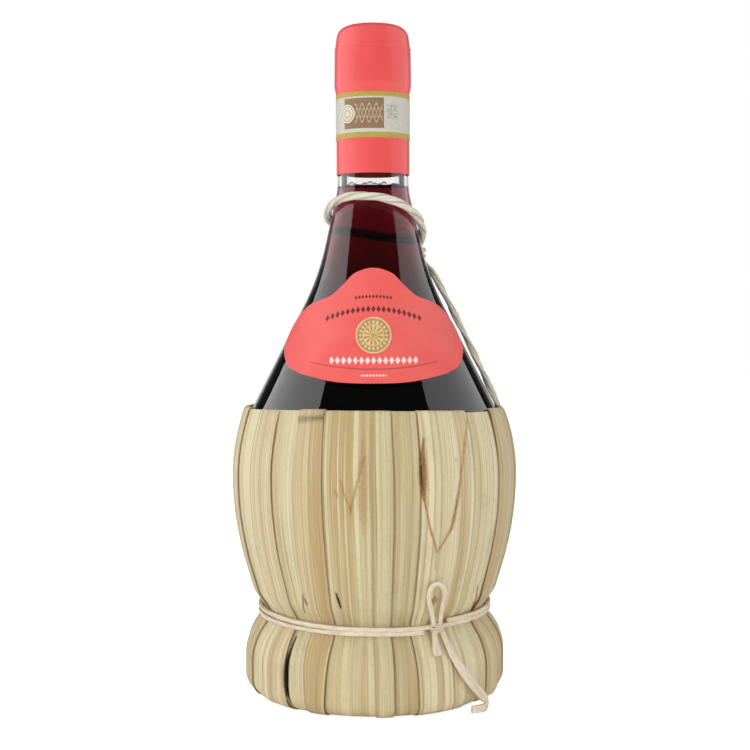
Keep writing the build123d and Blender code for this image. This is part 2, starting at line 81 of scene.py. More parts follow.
# Flask outline, its outer face
NECK_RADIUS = 13.7 * MM
NECK_END_Z = 199.0 * MM
NECK_TAPER_Z = 190.0 * MM
NECK_LEAN = 13.0
SHOULDER_TOP_Z = 172.5 * MM
SHOULDER_END_Z = 150.0 * MM
SHOULDER_LEAN = 27.0
BELLY_RADIUS = 52.8 * MM
BELLY_Z = 84.0 * MM
HEEL_Z = 37.0 * MM
HEEL_LEAN = 21.7
GLASS_WALL = 3.5 * MM
FINISH_RADIUS = 14.1 * MM
FINISH_TAPER = 0.75 * MM
FINISH_BOTTOM_Z = 231.4 * MM
TOP_CORNER_Z = 252.3 * MM
LIP_RADIUS = 4.3 * MM
LIP_LEAN = 8.0
BORE_RADIUS = 9.25 * MM
BORE_DEPTH = 45 * MM
BORE_FLARE = 6 * MM

# Wrap outline, its outer face
WRAP_RIM_Z = 109.6 * MM
WRAP_BELLY_RADIUS = 55.2 * MM
WRAP_BELLY_Z = 84.5 * MM
WRAP_RIM_LEAN = 21.6
WRAP_LOWER_Z = 50.0 * MM
WRAP_LOWER_LEAN = 16.2
WRAP_BEND_Z = 41.0 * MM
WRAP_BEND_DROP = 2.6 * MM
WAIST_LEAN = 34.0
WAIST_RADIUS = 43.6 * MM
WAIST_Z = 32.5 * MM
WAIST_FLAT = 2.0 * MM
BASE_RADIUS = 50.5 * MM
BASE_TOP_Z = 14.0 * MM
BASE_CORNER = 7.0 * MM
TUCK_RADIUS = 34.0 * MM
HEM_MIDDLE_DEPTH = 1.21 * MM
HEM_LENGTH = 6.6 * MM
OUTLINE_STEP = 0.25 * MM


def lean_sin(lean):
    return math.sin(math.radians(lean))


def lean_cos(lean):
    return math.cos(math.radians(lean))


def lean_tan(lean):
    return math.tan(math.radians(lean))


def bell(distance, width):
    """1 at no distance, about a third at the width and next to nothing at twice the width."""
    return np.exp(-((distance / width) ** 2))


def smooth_step(low, high, value):
    share = np.clip((value - low) / (high - low), 0, 1)
    return share * share * (3 - 2 * share)


def noise_at(*place):
    return noise.noise(Vector(place))


def round_axis(radius, angle, height):
    """The point at a radius, an angle in radians round the axis, and a height."""
    return (radius * math.cos(angle), radius * math.sin(angle), height)


class Outline:
    """A chain of tangent lines and arcs through stations (radius, height, lean in degrees), going down.

    It is sampled finely and can be read at any length along it."""

    def __init__(self, stations):
        rows = []
        length = 0.0
        for (r0, z0, a0), (r1, z1, a1) in zip(stations, stations[1:]):
            first, last = math.radians(a0), math.radians(a1)
            chord = math.hypot(r1 - r0, z1 - z0)
            half = (last - first) / 2
            flat = abs(half) < 1e-6
            span = chord if flat else chord * half / math.sin(half)
            count = max(2, int(span / OUTLINE_STEP))
            for index in range(count):
                share = index / count
                lean = first + (last - first) * share
                if flat:
                    r, z = r0 + (r1 - r0) * share, z0 + (z1 - z0) * share
                else:
                    bend = span / (last - first)
                    r = r0 + bend * (math.cos(first) - math.cos(lean))
                    z = z0 - bend * (math.sin(lean) - math.sin(first))
                rows.append((length + span * share, r, z, lean))
            length += span
        r, z, lean = stations[-1]
        rows.append((length, r, z, math.radians(lean)))
        self.rows = np.array(rows)
        self.length = length

    def at(self, length, depth=0.0):
        """Radius, height and lean at a length along the outline, depth inside it."""
        r, z, lean = (np.interp(length, self.rows[:, 0], self.rows[:, column]) for column in (1, 2, 3))
        return r - depth * np.cos(lean), z - depth * np.sin(lean), lean

    def length_at_height(self, height):
        order = np.argsort(self.rows[:, 2])
        return float(np.interp(height, self.rows[order, 2], self.rows[order, 0]))

    def points(self, step, start=None, end=None, depth=0.0):
        """Points (r, z) between two heights, from the upper to the lower."""
        first = 0.0 if start is None else self.length_at_height(start)
        last = self.length if end is None else self.length_at_height(end)
        count = max(2, int(math.ceil((last - first) / step)))
        r, z, _ = self.at(np.linspace(first, last, count + 1), depth)
        return list(zip(r, z))


def flask_outline():
    taper = NECK_RADIUS + (NECK_END_Z - NECK_TAPER_Z) * lean_tan(NECK_LEAN / 2)
    shoulder = taper + (NECK_TAPER_Z - SHOULDER_TOP_Z) * lean_tan(NECK_LEAN)
    cone = shoulder + (SHOULDER_TOP_Z - SHOULDER_END_Z) * lean_tan((NECK_LEAN + SHOULDER_LEAN) / 2)
    slope, half = lean_tan(SHOULDER_LEAN), lean_tan(SHOULDER_LEAN / 2)
    cone_end_z = (cone + SHOULDER_END_Z * slope - BELLY_Z * half - BELLY_RADIUS) / (slope - half)
    cone_end = cone + (SHOULDER_END_Z - cone_end_z) * slope
    heel = BELLY_RADIUS - (BELLY_Z - HEEL_Z) * lean_tan(HEEL_LEAN / 2)
    bottom = HEEL_Z - heel / lean_tan(45 + HEEL_LEAN / 2)
    return Outline(
        [
            (NECK_RADIUS, NECK_END_Z, 0),
            (taper, NECK_TAPER_Z, NECK_LEAN),
            (shoulder, SHOULDER_TOP_Z, NECK_LEAN),
            (cone, SHOULDER_END_Z, SHOULDER_LEAN),
            (cone_end, cone_end_z, SHOULDER_LEAN),
            (BELLY_RADIUS, BELLY_Z, 0),
            (heel, HEEL_Z, -HEEL_LEAN),
            (0.0, bottom, -90),
        ]
    )


def wrap_outline():
    rim = WRAP_BELLY_RADIUS - (WRAP_RIM_Z - WRAP_BELLY_Z) * lean_tan(WRAP_RIM_LEAN / 2)
    lower = WRAP_BELLY_RADIUS - (WRAP_BELLY_Z - WRAP_LOWER_Z) * lean_tan(WRAP_LOWER_LEAN / 2)
    bend = lower - (WRAP_LOWER_Z - WRAP_BEND_Z) * lean_tan(WRAP_LOWER_LEAN)
    draw_z = WRAP_BEND_Z - WRAP_BEND_DROP
    draw = bend - WRAP_BEND_DROP * lean_tan((WRAP_LOWER_LEAN + WAIST_LEAN) / 2)
    slope, half = lean_tan(WAIST_LEAN), lean_tan(WAIST_LEAN / 2)
    top_z, low_z = WAIST_Z + WAIST_FLAT / 2, WAIST_Z - WAIST_FLAT / 2
    start_z = (WAIST_RADIUS - top_z * half - draw + draw_z * slope) / (slope - half)
    start = WAIST_RADIUS + (start_z - top_z) * half
    flare_z = low_z - (start_z - top_z)
    swell_z = (BASE_RADIUS - start - flare_z * slope + BASE_TOP_Z * half) / (half - slope)
    swell = start + (flare_z - swell_z) * slope
    return Outline(
        [
            (rim, WRAP_RIM_Z, WRAP_RIM_LEAN),
            (WRAP_BELLY_RADIUS, WRAP_BELLY_Z, 0),
            (lower, WRAP_LOWER_Z, -WRAP_LOWER_LEAN),
            (bend, WRAP_BEND_Z, -WRAP_LOWER_LEAN),
            (draw, draw_z, -WAIST_LEAN),
            (start, start_z, -WAIST_LEAN),
            (WAIST_RADIUS, top_z, 0),
            (WAIST_RADIUS, low_z, 0),
            (start, flare_z, WAIST_LEAN),
            (swell, swell_z, WAIST_LEAN),
            (BASE_RADIUS, BASE_TOP_Z, 0),
            (BASE_RADIUS, BASE_CORNER, 0),
            (BASE_RADIUS - BASE_CORNER, 0.0, -90),
            (TUCK_RADIUS, 0.0, -90),
        ]
    )


FLASK = flask_outline()
WRAP = wrap_outline()


# Materials

WHITE = (1.0, 1.0, 1.0, 1.0)
PANEL_SOFT = 0.08
LINE_SOFT = 0.06


def srgb(red, green, blue):
    """A colour read as 0 to 255 in a picture, as Blender's linear values."""

    def linear(value):
        value /= 255
        return value / 12.92 if value <= 0.04045 else ((value + 0.055) / 1.055) ** 2.4

    return (linear(red), linear(green), linear(blue), 1.0)


class Shader:
    """The node tree of a material or of the world, built by short calls."""

    def __init__(self, name, world=None):
        self.material = world or bpy.data.materials.new(name)
        self.material.use_nodes = True
        self.nodes = self.material.node_tree.nodes
        self.links = self.material.node_tree.links

    def set(self, surface="Principled BSDF", **values):
        for name, value in values.items():
            self.put(self.nodes[surface].inputs[name.replace("_", " ")], value)

    def put(self, socket, value):
        if isinstance(value, bpy.types.NodeSocket):
            self.links.new(value, socket)
        else:
            socket.default_value = value

    def node(self, kind, inputs=None, **settings):
        """The outputs of a new node."""
        node = self.nodes.new(kind)
        for name, value in settings.items():
            setattr(node, name, value)
        for name, value in (inputs or {}).items():
            self.put(node.inputs[name], value)
        return node.outputs

    def place(self, kind="Object"):
        return self.node("ShaderNodeTexCoord")[kind]

    def split(self, vector):
        return self.node("ShaderNodeSeparateXYZ", {"Vector": vector})

    def noise(self, vector, scale, detail, rough, twist=0.0, shift=(0, 0, 0)):
        """Noise at one scale, or at a scale for each axis with the whole moved by shift."""
        if isinstance(scale, tuple):
            stretch = {"Vector": vector, "Scale": scale, "Location": shift}
            vector, scale = self.node("ShaderNodeMapping", stretch)["Vector"], 1.0
        inputs = {"Vector": vector, "Scale": scale, "Detail": detail, "Roughness": rough}
        return self.node("ShaderNodeTexNoise", inputs | {"Distortion": twist})["Fac"]

    def math(self, operation, *values):
        result = self.node("ShaderNodeMath", dict(enumerate(values)), operation=operation)
        return result[0]

    def times(self, product, *factors):
        for factor in factors:
            product = self.math("MULTIPLY", product, factor)
        return product

    def attribute(self, name, share=1.0):
        value = self.node("ShaderNodeAttribute", attribute_name=name)["Fac"]
        return value if share == 1.0 else self.times(value, share)

    def ramp(self, value, low, high, start=0.0, end=1.0):
        inputs = {"Value": value, "From Min": low, "From Max": high, "To Min": start, "To Max": end}
        return self.node("ShaderNodeMapRange", inputs, interpolation_type="SMOOTHSTEP")["Result"]

    def below(self, value, limit, soft):
        """1 below a limit and 0 above it. The limit and its softness are in millimetres."""
        return self.ramp(value, (limit - soft) * MM, (limit + soft) * MM, 1.0, 0.0)

    def between(self, value, low, high, soft):
        rise = self.ramp(value, (low - soft) * MM, (low + soft) * MM)
        return self.times(rise, self.below(value, high, soft))

    def mix(self, share, first, second):
        node = self.nodes.new("ShaderNodeMix")
        node.data_type = "RGBA"
        colours = [socket for socket in node.inputs if socket.type == "RGBA"]
        for socket, value in zip((node.inputs["Factor"], *colours), (share, first, second)):
            self.put(socket, value)
        return [socket for socket in node.outputs if socket.type == "RGBA"][0]

    def lay(self, colour, *layers):
        """A colour with tones laid on it. A layer is a share, or a field with its ramp, then its tone."""
        if isinstance(colour, tuple):
            colour = srgb(*colour)
        for *share, tone in layers:
            share = self.ramp(*share) if len(share) > 1 else share[0]
            colour = self.mix(share, colour, srgb(*tone))
        return colour

    def bump(self, height, distance, strength, normal=None):
        inputs = {"Height": height, "Distance": distance, "Strength": strength}
        if normal is not None:
            inputs["Normal"] = normal
        return self.node("ShaderNodeBump", inputs)["Normal"]

    def seen(self):
        """Two shares: of what the camera sees, also through the glass, and of what is mirrored."""
        path = self.node("ShaderNodeLightPath")
        mirrored = self.math("MINIMUM", path["Glossy Depth"], 1.0)
        through = self.times(path["Is Transmission Ray"], self.math("SUBTRACT", 1.0, mirrored))
        return self.math("MAXIMUM", path["Is Camera Ray"], through), mirrored


def leaf_material():
    """Dried leaf: fine fibres along the strip, pale, tan, grey and pinkish lanes, brown edges and splits, and
    painted shade in the splits, in gaps and beside overlapping strips.
    """
    shader = Shader("dried_leaf")
    along, spot = shader.place("UV"), shader.place()
    fibre = shader.noise(along, (5200, 22, 1), 4, 0.6)
    streak = shader.noise(along, (1500, 7, 1), 3, 0.55, shift=(3.1, 0, 0))
    band = shader.noise(along, (330, 4, 1), 2, 0.5, shift=(7.7, 2.0, 0))
    fleck = shader.noise(along, (1100, 260, 1), 2, 0.5, shift=(1.3, 5.0, 0))
    hair = shader.noise(along, (2100, 10, 1), 1, 0.5, shift=(9.3, 1.0, 0))
    pale_hair = shader.noise(along, (2400, 14, 1), 1, 0.5, shift=(2.3, 8.0, 0))
    cloud = shader.noise(spot, 90, 5, 0.65)
    mottle = shader.noise(spot, 700, 4, 0.7)
    level = shader.math("ADD", shader.attribute("tone"), shader.ramp(band, 0.3, 0.7, -0.22, 0.22))
    colour = shader.lay(
        (192, 163, 106),
        (level, 0.0, 1.0, (240, 229, 188)),
        (shader.attribute("grey", 0.8), (194, 183, 140)),
        (shader.attribute("pink", 0.5), (216, 186, 154)),
        (streak, 0.52, 0.70, 0.0, 0.60, (190, 162, 112)),
        (streak, 0.30, 0.46, 0.50, 0.0, (247, 237, 202)),
        (fibre, 0.56, 0.72, 0.0, 0.45, (164, 132, 84)),
        (fibre, 0.28, 0.44, 0.40, 0.0, (249, 240, 208)),
        (cloud, 0.52, 0.75, 0.0, 0.35, (188, 176, 142)),
        (mottle, 0.50, 0.70, 0.0, 0.16, (174, 154, 112)),
        (fleck, 0.68, 0.80, 0.0, 0.50, (170, 138, 90)),
        (hair, 0.66, 0.74, 0.0, 0.70, (158, 118, 70)),
        (pale_hair, 0.66, 0.74, 0.0, 0.60, (250, 244, 224)),
        (shader.attribute("crease", 0.70), (158, 122, 78)),
        (shader.attribute("edge", 0.30), (176, 136, 84)),
    )
    ochre = shader.lay(
        (212, 168, 104), (fibre, 0.35, 0.65, (160, 112, 56)), (mottle, 0.40, 0.62, 0.0, 0.6, (140, 92, 42))
    )
    colour = shader.mix(shader.attribute("stain"), colour, ochre)
    # Painted shade: dark in the splits and gaps, below the folded end and beside the strips that lie on this
    # one
    colour = shader.lay(colour, (shader.attribute("shade"), (46, 30, 18)))
    crinkle = shader.bump(mottle, 0.12 * MM, 0.7, shader.bump(fibre, 0.07 * MM, 0.9))
    ribs = shader.bump(streak, 0.25 * MM, 0.9, crinkle)
    shader.set(Base_Color=colour, Roughness=shader.ramp(streak, 0.3, 0.7, 0.52, 0.70), Normal=ribs)
    shader.set(Specular_IOR_Level=0.30, Sheen_Weight=0.10, Sheen_Roughness=0.5)
    return shader.material


def cord_material(name, pale, dark):
    """Twisted paper of pale fibre, with painted shade in its creases."""
    shader = Shader(name)
    fibre = shader.noise(shader.place("UV"), (2600, 160, 1), 4, 0.6)
    patch = shader.noise(shader.place(), 180, 3, 0.6)
    # Painted shade in the creases of the twist
    creased = (shader.attribute("groove_shade", 0.6), (140, 112, 76))
    colour = shader.lay(pale, (fibre, 0.38, 0.70, dark), (patch, 0.50, 0.78, 0.0, 0.5, dark), creased)
    shader.set(Base_Color=colour, Roughness=0.78, Normal=shader.bump(fibre, 0.12 * MM, 0.9))
    shader.set(Specular_IOR_Level=0.25, Sheen_Weight=0.2, Sheen_Roughness=0.5)
    return shader.material


def rush_material():
    shader = Shader("rush")
    fibre = shader.noise(shader.place("UV"), (1800, 60, 1), 4, 0.6)
    patch = shader.noise(shader.place(), 90, 3, 0.6)
    colour = shader.lay(
        (196, 168, 112),
        (fibre, 0.3, 0.7, (132, 100, 56)),
        (patch, 0.5, 0.75, 0.0, 0.6, (150, 124, 70)),
        # Painted shade in the grooves between the stems
        (shader.attribute("groove_shade"), (80, 56, 30)),
    )
    shader.set(Base_Color=colour, Roughness=0.75, Normal=shader.bump(fibre, 0.2 * MM, 0.9))
    return shader.material


def glass_material():
    """Clear bottle glass with the faint waviness of a blown flask."""
    shader = Shader("clear_glass")
    wave = shader.noise(shader.place(), (26, 26, 9), 2, 0.4)
    fine = shader.noise(shader.place(), 160, 2, 0.5)
    waved = shader.bump(wave, 0.35 * MM, 0.25)
    shader.set(Normal=shader.bump(fine, 0.02 * MM, 0.25, waved))
    shader.set(Roughness=shader.ramp(fine, 0.3, 0.8, 0.0, 0.018), Transmission_Weight=1.0)
    shader.set(Base_Color=(0.985, 0.995, 0.985, 1.0), IOR=1.5)
    return shader.material


def wine_material():
    """Red wine, dark through its depth and red where the neck is thin."""
    shader = Shader("red_wine")
    drift = shader.noise(shader.place(), 30, 2, 0.5)
    shader.set(Base_Color=(1.0, 0.93, 0.93, 1.0), Transmission_Weight=1.0, IOR=1.345)
    shader.set(Roughness=shader.ramp(drift, 0.3, 0.7, 0.0, 0.01))
    depth = shader.node("ShaderNodeVolumeAbsorption", {"Color": (0.62, 0.0, 0.20, 1.0), "Density": 285.0})
    shader.set("Material Output", Volume=depth["Volume"])
    return shader.material


def foam_material():
    shader = Shader("wine_foam")
    film = shader.noise(shader.place(), 900, 2, 0.5)
    shader.set(Base_Color=shader.mix(film, (1.0, 0.9, 0.92, 1), (0.9, 0.55, 0.62, 1)), Roughness=0.02)
    shader.set(Transmission_Weight=1.0, IOR=1.18)
    return shader.material


def foil_material():
    """Painted capsule foil: smooth satin with faint creases and a rubbed look on its ridges."""
    shader = Shader("coral_foil")
    spot = shader.place()
    crease = shader.noise(spot, (120, 120, 420), 4, 0.55, 0.6)
    grain = shader.noise(spot, 1500, 3, 0.6)
    drift = shader.noise(spot, 55, 3, 0.5)
    rubbed = (crease, 0.66, 0.80, 0.0, 0.35, (206, 58, 62))
    colour = shader.lay((246, 84, 84), (drift, 0.35, 0.70, 0.0, 0.55, (254, 102, 98)), rubbed)
    shader.set(Base_Color=colour, Roughness=shader.ramp(grain, 0.3, 0.7, 0.34, 0.46))
    shader.set(Normal=shader.bump(crease, 0.10 * MM, 0.5, shader.bump(grain, 0.02 * MM, 0.5)))
    shader.set(Specular_IOR_Level=0.45, Coat_Weight=0.12, Coat_Roughness=0.25)
    return shader.material


# Rows of lozenges on the label: height, bend, half height, pitch and reach in millimetres, and colour
LABEL_ROWS = (
    (153.0, -0.0118, 0.80, 1.3, 7.0, (96, 38, 42)),
    (148.4, -0.0118, 1.35, 1.9, 17.8, (84, 34, 38)),
    (129.7, 0.0, 1.55, 2.2, 16.2, (252, 240, 230)),
    (126.6, 0.0042, 0.42, 1.0, 23.4, (176, 62, 62)),
    (124.4, 0.0, 0.55, 1.2, 4.7, (252, 240, 230)),
)
LOZENGE_SHARE = 0.46
ROW_END_SOFT = 0.1


def label_material():
    """Coral label paper with a laid texture and a slight sheen."""
    shader = Shader("label_paper")
    spot = shader.place()
    laid = shader.noise(spot, (300, 300, 2600), 3, 0.6)
    grain = shader.noise(spot, 1900, 3, 0.6)
    drift = (shader.noise(spot, 38, 3, 0.5), 0.3, 0.7, (252, 110, 104))
    colour = shader.lay((246, 94, 90), drift, (laid, 0.55, 0.8, 0.0, 0.22, (232, 84, 82)))
    x, _, z = shader.split(spot)
    square = shader.math("POWER", shader.times(x, 1 / MM), 2.0)
    across = shader.math("ABSOLUTE", x)
    for height, bend, half, pitch, reach, tone in LABEL_ROWS:
        middle = shader.math("ADD", shader.times(square, bend * MM), height * MM)
        up = shader.math("DIVIDE", shader.math("SUBTRACT", z, middle), half * MM)
        side = shader.math("PINGPONG", across, pitch * MM / 2)
        side = shader.math("DIVIDE", side, pitch * MM * LOZENGE_SHARE)
        far = shader.math("ADD", shader.math("ABSOLUTE", up), side)
        lozenge = shader.ramp(far, 0.80, 1.05, 0.90, 0.0)
        colour = shader.lay(colour, (shader.times(lozenge, shader.below(across, reach, ROW_END_SOFT)), tone))
    shader.set(Base_Color=colour, Roughness=shader.ramp(grain, 0.3, 0.7, 0.48, 0.62))
    shader.set(Normal=shader.bump(shader.math("ADD", laid, grain), 0.03 * MM, 0.7), Specular_IOR_Level=0.35)
    return shader.material


def gold_material():
    shader = Shader("gold_foil")
    grain = shader.noise(shader.place(), 2200, 3, 0.6)
    drift = (shader.noise(shader.place(), 260, 3, 0.5), 0.3, 0.7, (255, 232, 172))
    # Painted shade where the seal's relief sinks
    colour = shader.lay((246, 208, 136), drift, (shader.attribute("groove_shade"), (150, 78, 48)))
    shader.set(Base_Color=colour, Metallic=0.15, Roughness=shader.ramp(grain, 0.3, 0.7, 0.30, 0.48))
    shader.set(Normal=shader.bump(grain, 0.03 * MM, 0.6))
    return shader.material


WINE_STAIN_Z = (212.8 * MM, 217.8 * MM)


def cork_material():
    shader = Shader("cork")
    spot = shader.place()
    cell = shader.noise(spot, 700, 4, 0.65)
    pit = shader.noise(spot, (220, 220, 90), 3, 0.6, 1.2)
    colour = shader.lay(
        (208, 164, 112),
        (cell, 0.3, 0.7, (180, 130, 80)),
        (pit, 0.62, 0.72, (96, 58, 32)),
        (shader.split(spot)["Z"], *WINE_STAIN_Z, 0.9, 0.0, (96, 22, 34)),
    )
    shader.set(Base_Color=colour, Roughness=0.82, Normal=shader.bump(pit, -0.5 * MM, 0.9))
    return shader.material


# The strip's print, in millimetres from its front and its foot: left, right, low and high edges of panels,
# gold bands from low to high, rate and reach of the woven lines, and radii and tones of the ringed disc
BROWN_PANEL = (-12.1, 4.3, 3.4, 14.8)
WOVEN_PANEL = (-7.0, 3.7, 4.0, 14.2)
CODE_PANEL = (5.6, 10.2, 7.0, 12.4)
GOLD_BANDS = ((0.0, 2.0), (15.4, 17.2))
WOVEN_LINES = ((1150, 3.4), (2300, 1.7))
PRINT_MIDDLE = 9.1
DISC_ACROSS = -10.6
DISC_RINGS = (
    (3.5, (232, 226, 206)),
    (2.9, (150, 120, 86)),
    (2.65, (226, 220, 200)),
    (1.7, (208, 190, 150)),
    (1.0, (232, 226, 206)),
)


def strip_material():
    """Paper strip: cream field, gold edges, a brown panel with woven and slanting lines, a ringed disc."""
    shader = Shader("strip_paper")
    along = shader.place("UV")
    across, up, _ = shader.split(along)
    grain = shader.noise(shader.place(), 1800, 3, 0.6)
    cloudy = {"Vector": along, "Scale": 420.0, "Distortion": 6.0, "Detail": 1.0}
    wave = shader.node("ShaderNodeTexWave", cloudy)["Fac"]
    slanting = {"Vector": along, "Scale": 900.0, "Distortion": 0.0}
    fine = shader.node("ShaderNodeTexWave", slanting, bands_direction="DIAGONAL")["Fac"]

    def panel(left, right, low, high):
        return shader.times(
            shader.between(across, left, right, PANEL_SOFT), shader.between(up, low, high, PANEL_SOFT)
        )

    colour = shader.lay(
        (226, 222, 208), (grain, 0.3, 0.7, (208, 203, 192)), (wave, 0.55, 0.9, 0.0, 0.30, (178, 172, 160))
    )
    brown = shader.lay(
        (128, 92, 62), (grain, 0.3, 0.7, (146, 112, 78)), (fine, 0.70, 0.95, 0.0, 0.55, (206, 184, 148))
    )
    colour = shader.mix(panel(*BROWN_PANEL), colour, brown)
    from_middle = shader.math("SUBTRACT", up, PRINT_MIDDLE * MM)
    for sign in (-1, 1):
        for rate, reach in WOVEN_LINES:
            swing = shader.times(shader.math("SINE", shader.times(across, rate)), sign * reach * MM)
            far = shader.math("ABSOLUTE", shader.math("SUBTRACT", from_middle, swing))
            thread = shader.ramp(far, 0.14 * MM, 0.34 * MM, 1.0, 0.0)
            colour = shader.lay(colour, (shader.times(thread, panel(*WOVEN_PANEL), 0.85), (226, 214, 188)))
    code = shader.ramp(shader.noise(along, (1300, 1300, 1), 0, 0.5), 0.49, 0.51)
    colour = shader.lay(colour, (shader.times(code, panel(*CODE_PANEL), 0.45), (120, 116, 108)))
    aside = shader.math("SUBTRACT", across, DISC_ACROSS * MM)
    squares = shader.math("ADD", shader.times(aside, aside), shader.times(from_middle, from_middle))
    from_disc = shader.math("SQRT", squares)
    for radius, tone in DISC_RINGS:
        colour = shader.lay(colour, (shader.below(from_disc, radius, LINE_SOFT), tone))
    gold = shader.lay((200, 178, 88), (grain, 0.3, 0.7, (180, 156, 66)))
    for low, high in GOLD_BANDS:
        colour = shader.mix(shader.between(up, low, high, LINE_SOFT), colour, gold)
    shader.set(Base_Color=colour, Roughness=0.5, Specular_IOR_Level=0.35)
    shader.set(Normal=shader.bump(grain, 0.03 * MM, 0.6))
    return shader.material


# Meshes


def new_object(name, data):
    item = bpy.data.objects.new(name, data)
    bpy.context.scene.collection.objects.link(item)
    return item


def new_piece(name, vertices, faces, material, replaces=(), body="flask", sharp=None):
    mesh = bpy.data.meshes.new(name)
    mesh.from_pydata([tuple(vertex) for vertex in vertices], [], faces)
    mesh.validate()
    mesh.update()
    mesh.polygons.foreach_set("use_smooth", [True] * len(mesh.polygons))
    if sharp is not None:
        mesh.set_sharp_from_angle(angle=math.radians(sharp))
    mesh.materials.append(material)
    piece = new_object(name, mesh)
    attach(piece, body)
    if replaces:
        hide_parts(*replaces)
    return piece


def face_outward(piece, weld=0.0):
    """Point all faces outward, once points closer together than weld have been joined."""
    work = bmesh.new()
    work.from_mesh(piece.data)
    if weld:
        bmesh.ops.remove_doubles(work, verts=work.verts, dist=weld)
    bmesh.ops.recalc_face_normals(work, faces=work.faces)
    work.to_mesh(piece.data)
    work.free()


def set_attribute(piece, name, values):
    layer = piece.data.attributes.new(name, "FLOAT", "POINT")
    layer.data.foreach_set("value", np.asarray(values, dtype=np.float32))


def set_uv(piece, per_vertex):
    """A UV map from one (u, v) for each vertex."""
    layer = piece.data.uv_layers.new(name="along")
    loops = np.zeros(len(piece.data.loops), dtype=np.int32)
    piece.data.loops.foreach_get("vertex_index", loops)
    layer.data.foreach_set("uv", np.asarray(per_vertex, dtype=np.float32)[loops].ravel())


def tube_faces(rings, sides, base=0, closed=False):
    """Faces between rings with the same number of points; where closed, the last runs into the first."""
    faces = []
    for ring in range(rings if closed else rings - 1):
        upper, lower = base + ring * sides, base + (ring + 1) % rings * sides
        for corner in range(sides):
            side = (corner + 1) % sides
            faces.append((upper + corner, lower + corner, lower + side, upper + side))
    return faces


def sheet_faces(wide, tall, ends=True):
    """Faces all round a thin sheet: two layers of points in rows, the outer layer first if rows run down."""
    layer = wide * tall
    faces = []
    for row in range(tall - 1):
        for a in range(row * wide, row * wide + wide - 1):
            faces.append((a, a + wide, a + wide + 1, a + 1))
            faces.append((layer + a, layer + a + 1, layer + a + wide + 1, layer + a + wide))
    for left in range(0, layer - wide, wide):
        right = left + wide - 1
        faces.append((left, layer + left, layer + left + wide, left + wide))
        faces.append((right, right + wide, layer + right + wide, layer + right))
    for top in range(wide - 1 if ends else 0):
        low = layer - wide + top
        faces.append((top, top + 1, layer + top + 1, layer + top))
        faces.append((low, layer + low, layer + low + 1, low + 1))
    return faces


def lathe(name, profile, material, replaces, segments, sharp, body="flask", shape=None):
    """A closed outline (r, z) turned round the axis. Points on the axis become single vertices."""
    vertices, faces, rings = [], [], []
    for r, z in profile:
        if r < 1e-6:
            rings.append([len(vertices)] * segments)
            vertices.append((0.0, 0.0, z))
            continue
        rings.append(range(len(vertices), len(vertices) + segments))
        for step in range(segments):
            angle = 2 * math.pi * step / segments
            radius, height = (r, z) if shape is None else shape(r, z, angle)
            vertices.append(round_axis(radius, angle, height))
    for upper, lower in zip(rings, rings[1:] + rings[:1]):
        for step in range(segments):
            nxt = (step + 1) % segments
            corners = list(dict.fromkeys((upper[step], lower[step], lower[nxt], upper[nxt])))
            if len(corners) > 2:
                faces.append(corners)
    piece = new_piece(name, vertices, faces, material, replaces, body, sharp)
    face_outward(piece)
    return piece


def arc_profile(centre, radius, start, end, count):
    """Points (r, z) on a circle between two angles in degrees."""
    points = []
    for index in range(count + 1):
        angle = math.radians(start + (end - start) * index / count)
        points.append((centre[0] + radius * math.cos(angle), centre[1] + radius * math.sin(angle)))
    return points


def straight(first, last, count):
    return [
        (first[0] + (last[0] - first[0]) * k / count, first[1] + (last[1] - first[1]) * k / count)
        for k in range(count + 1)
    ]


# Camera, lights and surroundings

# Two long panels mirrored in the glass, and soft lamps that shade the rest: name, place, target and size,
# in metres, and power
PANELS = (
    ("left_panel", (-0.52, 0.08, 0.60), (0, 0.08, 0.60), (0.735, 1.3), LEFT_PANEL),
    ("right_panel", (0.52, 0.115, 0.60), (0, 0.115, 0.60), (0.81, 1.3), RIGHT_PANEL),
)
SOFT_LAMPS = (
    ("left_soft", (-0.52, -0.10, 0.45), (0, -0.10, 0.45), (0.70, 1.3), LEFT_POWER),
    ("right_soft", (0.52, 0.06, 0.45), (0, 0.06, 0.45), (0.80, 1.3), RIGHT_POWER),
    ("front_fill", (-0.35, -1.1, 0.80), (0, 0, 0.10), (0.9, 0.7), FRONT_POWER),
    ("low_left", (-0.55, -0.50, 0.11), (0, 0, 0.04), (0.8, 0.2), LOW_POWER),
    ("low_right", (0.55, -0.50, 0.11), (0, 0, 0.04), (0.8, 0.2), LOW_POWER),
    ("top_fill", (0.0, -0.1, 1.2), (0, 0, 0.1), (0.9, 0.9), TOP_POWER),
)


def make_camera():
    data = bpy.data.cameras.new("camera")
    data.lens = CAMERA_LENS
    data.sensor_width = SENSOR
    data.clip_start = CLIP_START
    camera = new_object("camera", data)
    look = Matrix.Rotation(math.radians(90 - CAMERA_TILT), 4, "X")
    roll = Matrix.Rotation(math.radians(CAMERA_ROLL), 4, "Z")
    camera.matrix_world = Matrix.Translation((CAMERA_SIDE, -CAMERA_DISTANCE, CAMERA_HEIGHT)) @ look @ roll
    bpy.context.scene.camera = camera


def make_lights():
    for name, place, target, size, power in PANELS + SOFT_LAMPS:
        data = bpy.data.lights.new(name, "AREA")
        data.shape = "RECTANGLE"
        data.size, data.size_y = size
        data.energy = power
        light = new_object(name, data)
        light.location = place
        light.rotation_euler = (Vector(target) - Vector(place)).to_track_quat("-Z", "Y").to_euler()
        light.visible_camera = False
        light.visible_transmission = False
        light.visible_glossy = name.endswith("panel")
        light.visible_diffuse = not light.visible_glossy


